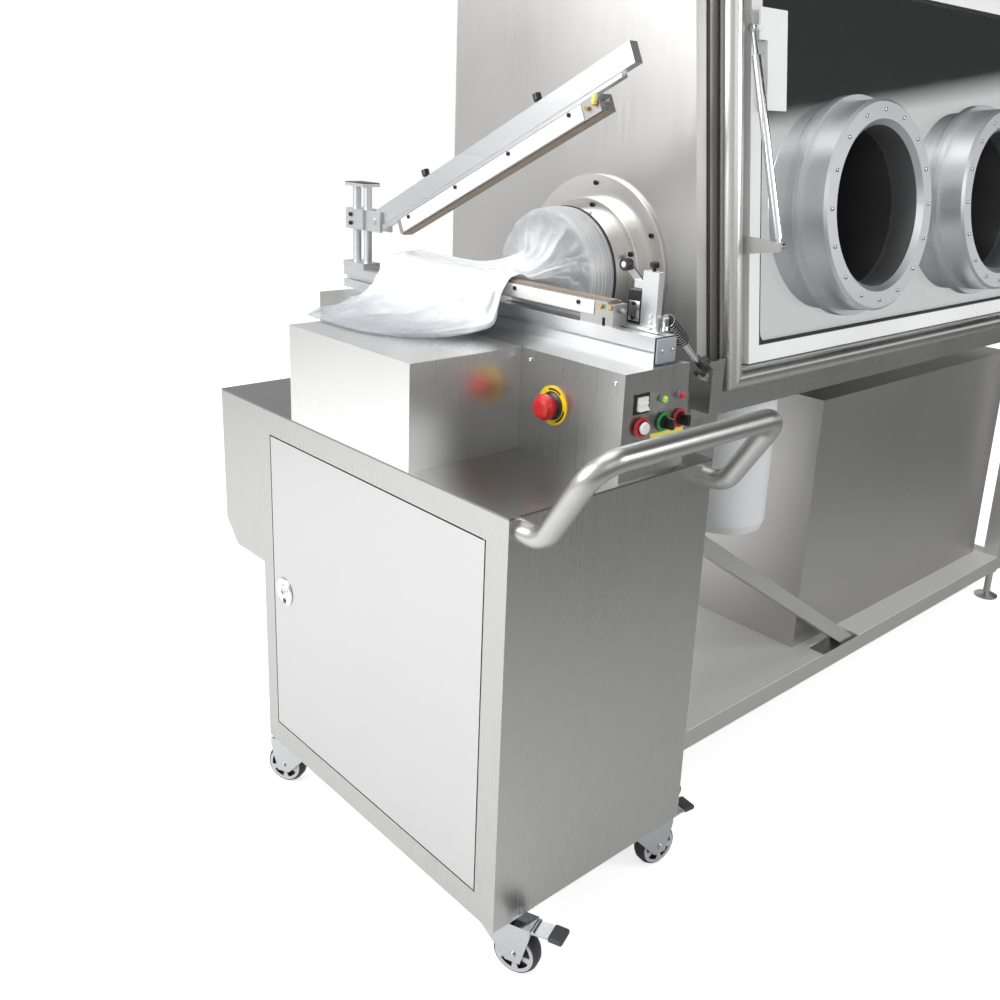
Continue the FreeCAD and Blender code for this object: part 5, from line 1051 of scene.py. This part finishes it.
# %% Gaskets
def rubber_frame(left, low, right, high, width, front, depth, corner):
    """A rectangular gasket, square outside, in the window's leaning frame, in millimetres."""
    middle_x, middle_z = (left + right) / 2000, (low + high) / 2000
    bpy.ops.object.select_all(action="DESELECT")
    bpy.ops.mesh.primitive_plane_add(size=1.0, rotation=(math.pi / 2, 0, 0))
    rubber = bpy.context.object
    rubber.scale = ((right - left) / 1000, (high - low) / 1000, 1)
    rubber.location = (middle_x, front / 1000, middle_z)
    bpy.ops.object.transform_apply(location=True, rotation=True, scale=True)
    bpy.ops.object.mode_set(mode="EDIT")
    bpy.ops.mesh.select_all(action="SELECT")
    bpy.ops.mesh.inset(thickness=width / 1000)
    if corner:
        bpy.ops.mesh.bevel(offset=corner / 1000, segments=8, affect="VERTICES")
    pick_faces(rubber, lambda middle, normal: abs(middle.x - middle_x) < 0.001
               and abs(middle.z - middle_z) < 0.001)
    bpy.ops.mesh.delete(type="FACE")
    bpy.ops.object.mode_set(mode="OBJECT")
    wall = rubber.modifiers.new("depth", "SOLIDIFY")
    wall.thickness = depth / 1000
    wall.offset = -1
    bpy.ops.object.modifier_apply(modifier="depth")
    bpy.ops.object.mode_set(mode="EDIT")
    bpy.ops.mesh.select_all(action="SELECT")
    bpy.ops.mesh.normals_make_consistent(inside=False)
    bpy.ops.object.mode_set(mode="OBJECT")
    return placed(rubber, ON_WINDOW)


window_gasket = rubber_frame(141.6, 68.6, 1298.4, 702.4, 4.5, -25.2, 6.9, 20)
done(window_gasket, "window_gasket", "window", black_rubber)
front_gasket = rubber_frame(27, 3, 1413, 800, 7, -1.6, 1.8, 0)
done(front_gasket, "front_gasket", "isolator", black_rubber)
print("gaskets are in")

# %% [markdown]
# ## Castors
#
# The wheels have black treads on grey hubs with five windows. Each hub face starts as a disc. Two
# insets draw its rim and spoke ring, each fifth of that ring loses two thirds of its faces,
# and Solidify gives what is left its thickness. The brake pedals carry rubber pads.

# %% Hub faces
# in metres, and the angles in degrees
HUB_RADIUS, HUB_RIM, SPOKE_RING = 0.032, 0.0055, 0.0125
WINDOW_FROM, WINDOW_TO = 0.0145, 0.0262
WINDOW_PITCH, WINDOW_WIDE = 72, 46
HUB_OUT = 0.0133


def hub_face():
    """A disc with five windows, looking up the z axis."""
    bpy.ops.object.select_all(action="DESELECT")
    bpy.ops.mesh.primitive_circle_add(vertices=60, radius=HUB_RADIUS, fill_type="NGON")
    disc = bpy.context.object
    bpy.ops.object.mode_set(mode="EDIT")
    bpy.ops.mesh.select_all(action="SELECT")
    bpy.ops.mesh.inset(thickness=HUB_RIM)
    bpy.ops.mesh.inset(thickness=SPOKE_RING)
    bpy.ops.transform.translate(value=(0, 0, 0.0004))

    def in_window(middle, normal):
        reach = Vector((middle.x, middle.y)).length
        angle = math.degrees(math.atan2(middle.y, middle.x))
        return WINDOW_FROM < reach < WINDOW_TO and angle % WINDOW_PITCH < WINDOW_WIDE
    pick_faces(disc, in_window)
    bpy.ops.mesh.delete(type="FACE")
    bpy.ops.object.mode_set(mode="OBJECT")
    sheet = disc.modifiers.new("thickness", "SOLIDIFY")
    sheet.thickness = 0.0012
    sheet.offset = -1
    bpy.ops.object.modifier_apply(modifier="thickness")
    return disc


CASTORS = {
    # swivel centre x and y in millimetres, and the angle the fork trails at
    "handle_left": (47, 40, -68), "handle_right": (373, 40, -8),
    "rear_left": (47, 610, 118), "rear_right": (373, 610, 35),
}
AXLE_HEIGHT, TRAIL = 37.5, 34
for name, (x, y, trail_angle) in CASTORS.items():
    trail = Vector((math.cos(math.radians(trail_angle)), math.sin(math.radians(trail_angle)), 0))
    axle = Vector((-trail.y, trail.x, 0))
    wheel = at(x, y, AXLE_HEIGHT) + trail * (TRAIL / 1000)
    faces = [aimed(hub_face(), wheel + axle * side * HUB_OUT, axle * side) for side in (1, -1)]
    done(joined(faces), "castor_hub_" + name, "wheel_" + name, hub_plastic)
print("wheels with hub faces:", len(CASTORS))

# %% [markdown]
# ## The door lock's plate
#
# A dished chrome plate sits round the lock on the door, with a dark finger slot below the plug. It
# is turned on the lathe, and the slot is a small black rounded block let into it: painted shade for the
# recess.

# %% Lock plate
rose = lathe([(13.2, 0), (24.0, 0), (25.5, 0.6), (25.8, 1.6), (24.6, 2.4), (22.5, 1.5),
              (15.5, 1.1), (13.2, 1.4), (13.2, 0)], 64)
done(aimed(rose, at(0.05, 579.5, 429.5), (-1, 0, 0)), "lock_plate", "door", bright_chrome)
# the black block is painted shade, in place of the shadow inside the finger slot
slot = plate((-2.0, 574.5, 407.5), (0.4, 584.5, 415.5), 1.9, 4)
done(placed(slot), "lock_finger_slot", "door", black_plastic)
print("lock plate is on")

# %% Pedal pads
for name in ("handle_left", "handle_right"):
    x, y, trail_angle = CASTORS[name]
    pad = plate((88, -16.5, 84.4), (111.5, 16.5, 93.2), 3.2, 4)
    turned = Matrix.Translation(at(x, y, 0)) @ Matrix.Rotation(math.radians(trail_angle), 4, "Z")
    done(placed(pad, turned), "brake_pad_" + name, "brake_" + name, pedal_rubber)
print("pedals have pads")

view_settings = bpy.context.scene.view_settings
view_settings.view_transform = "Standard"
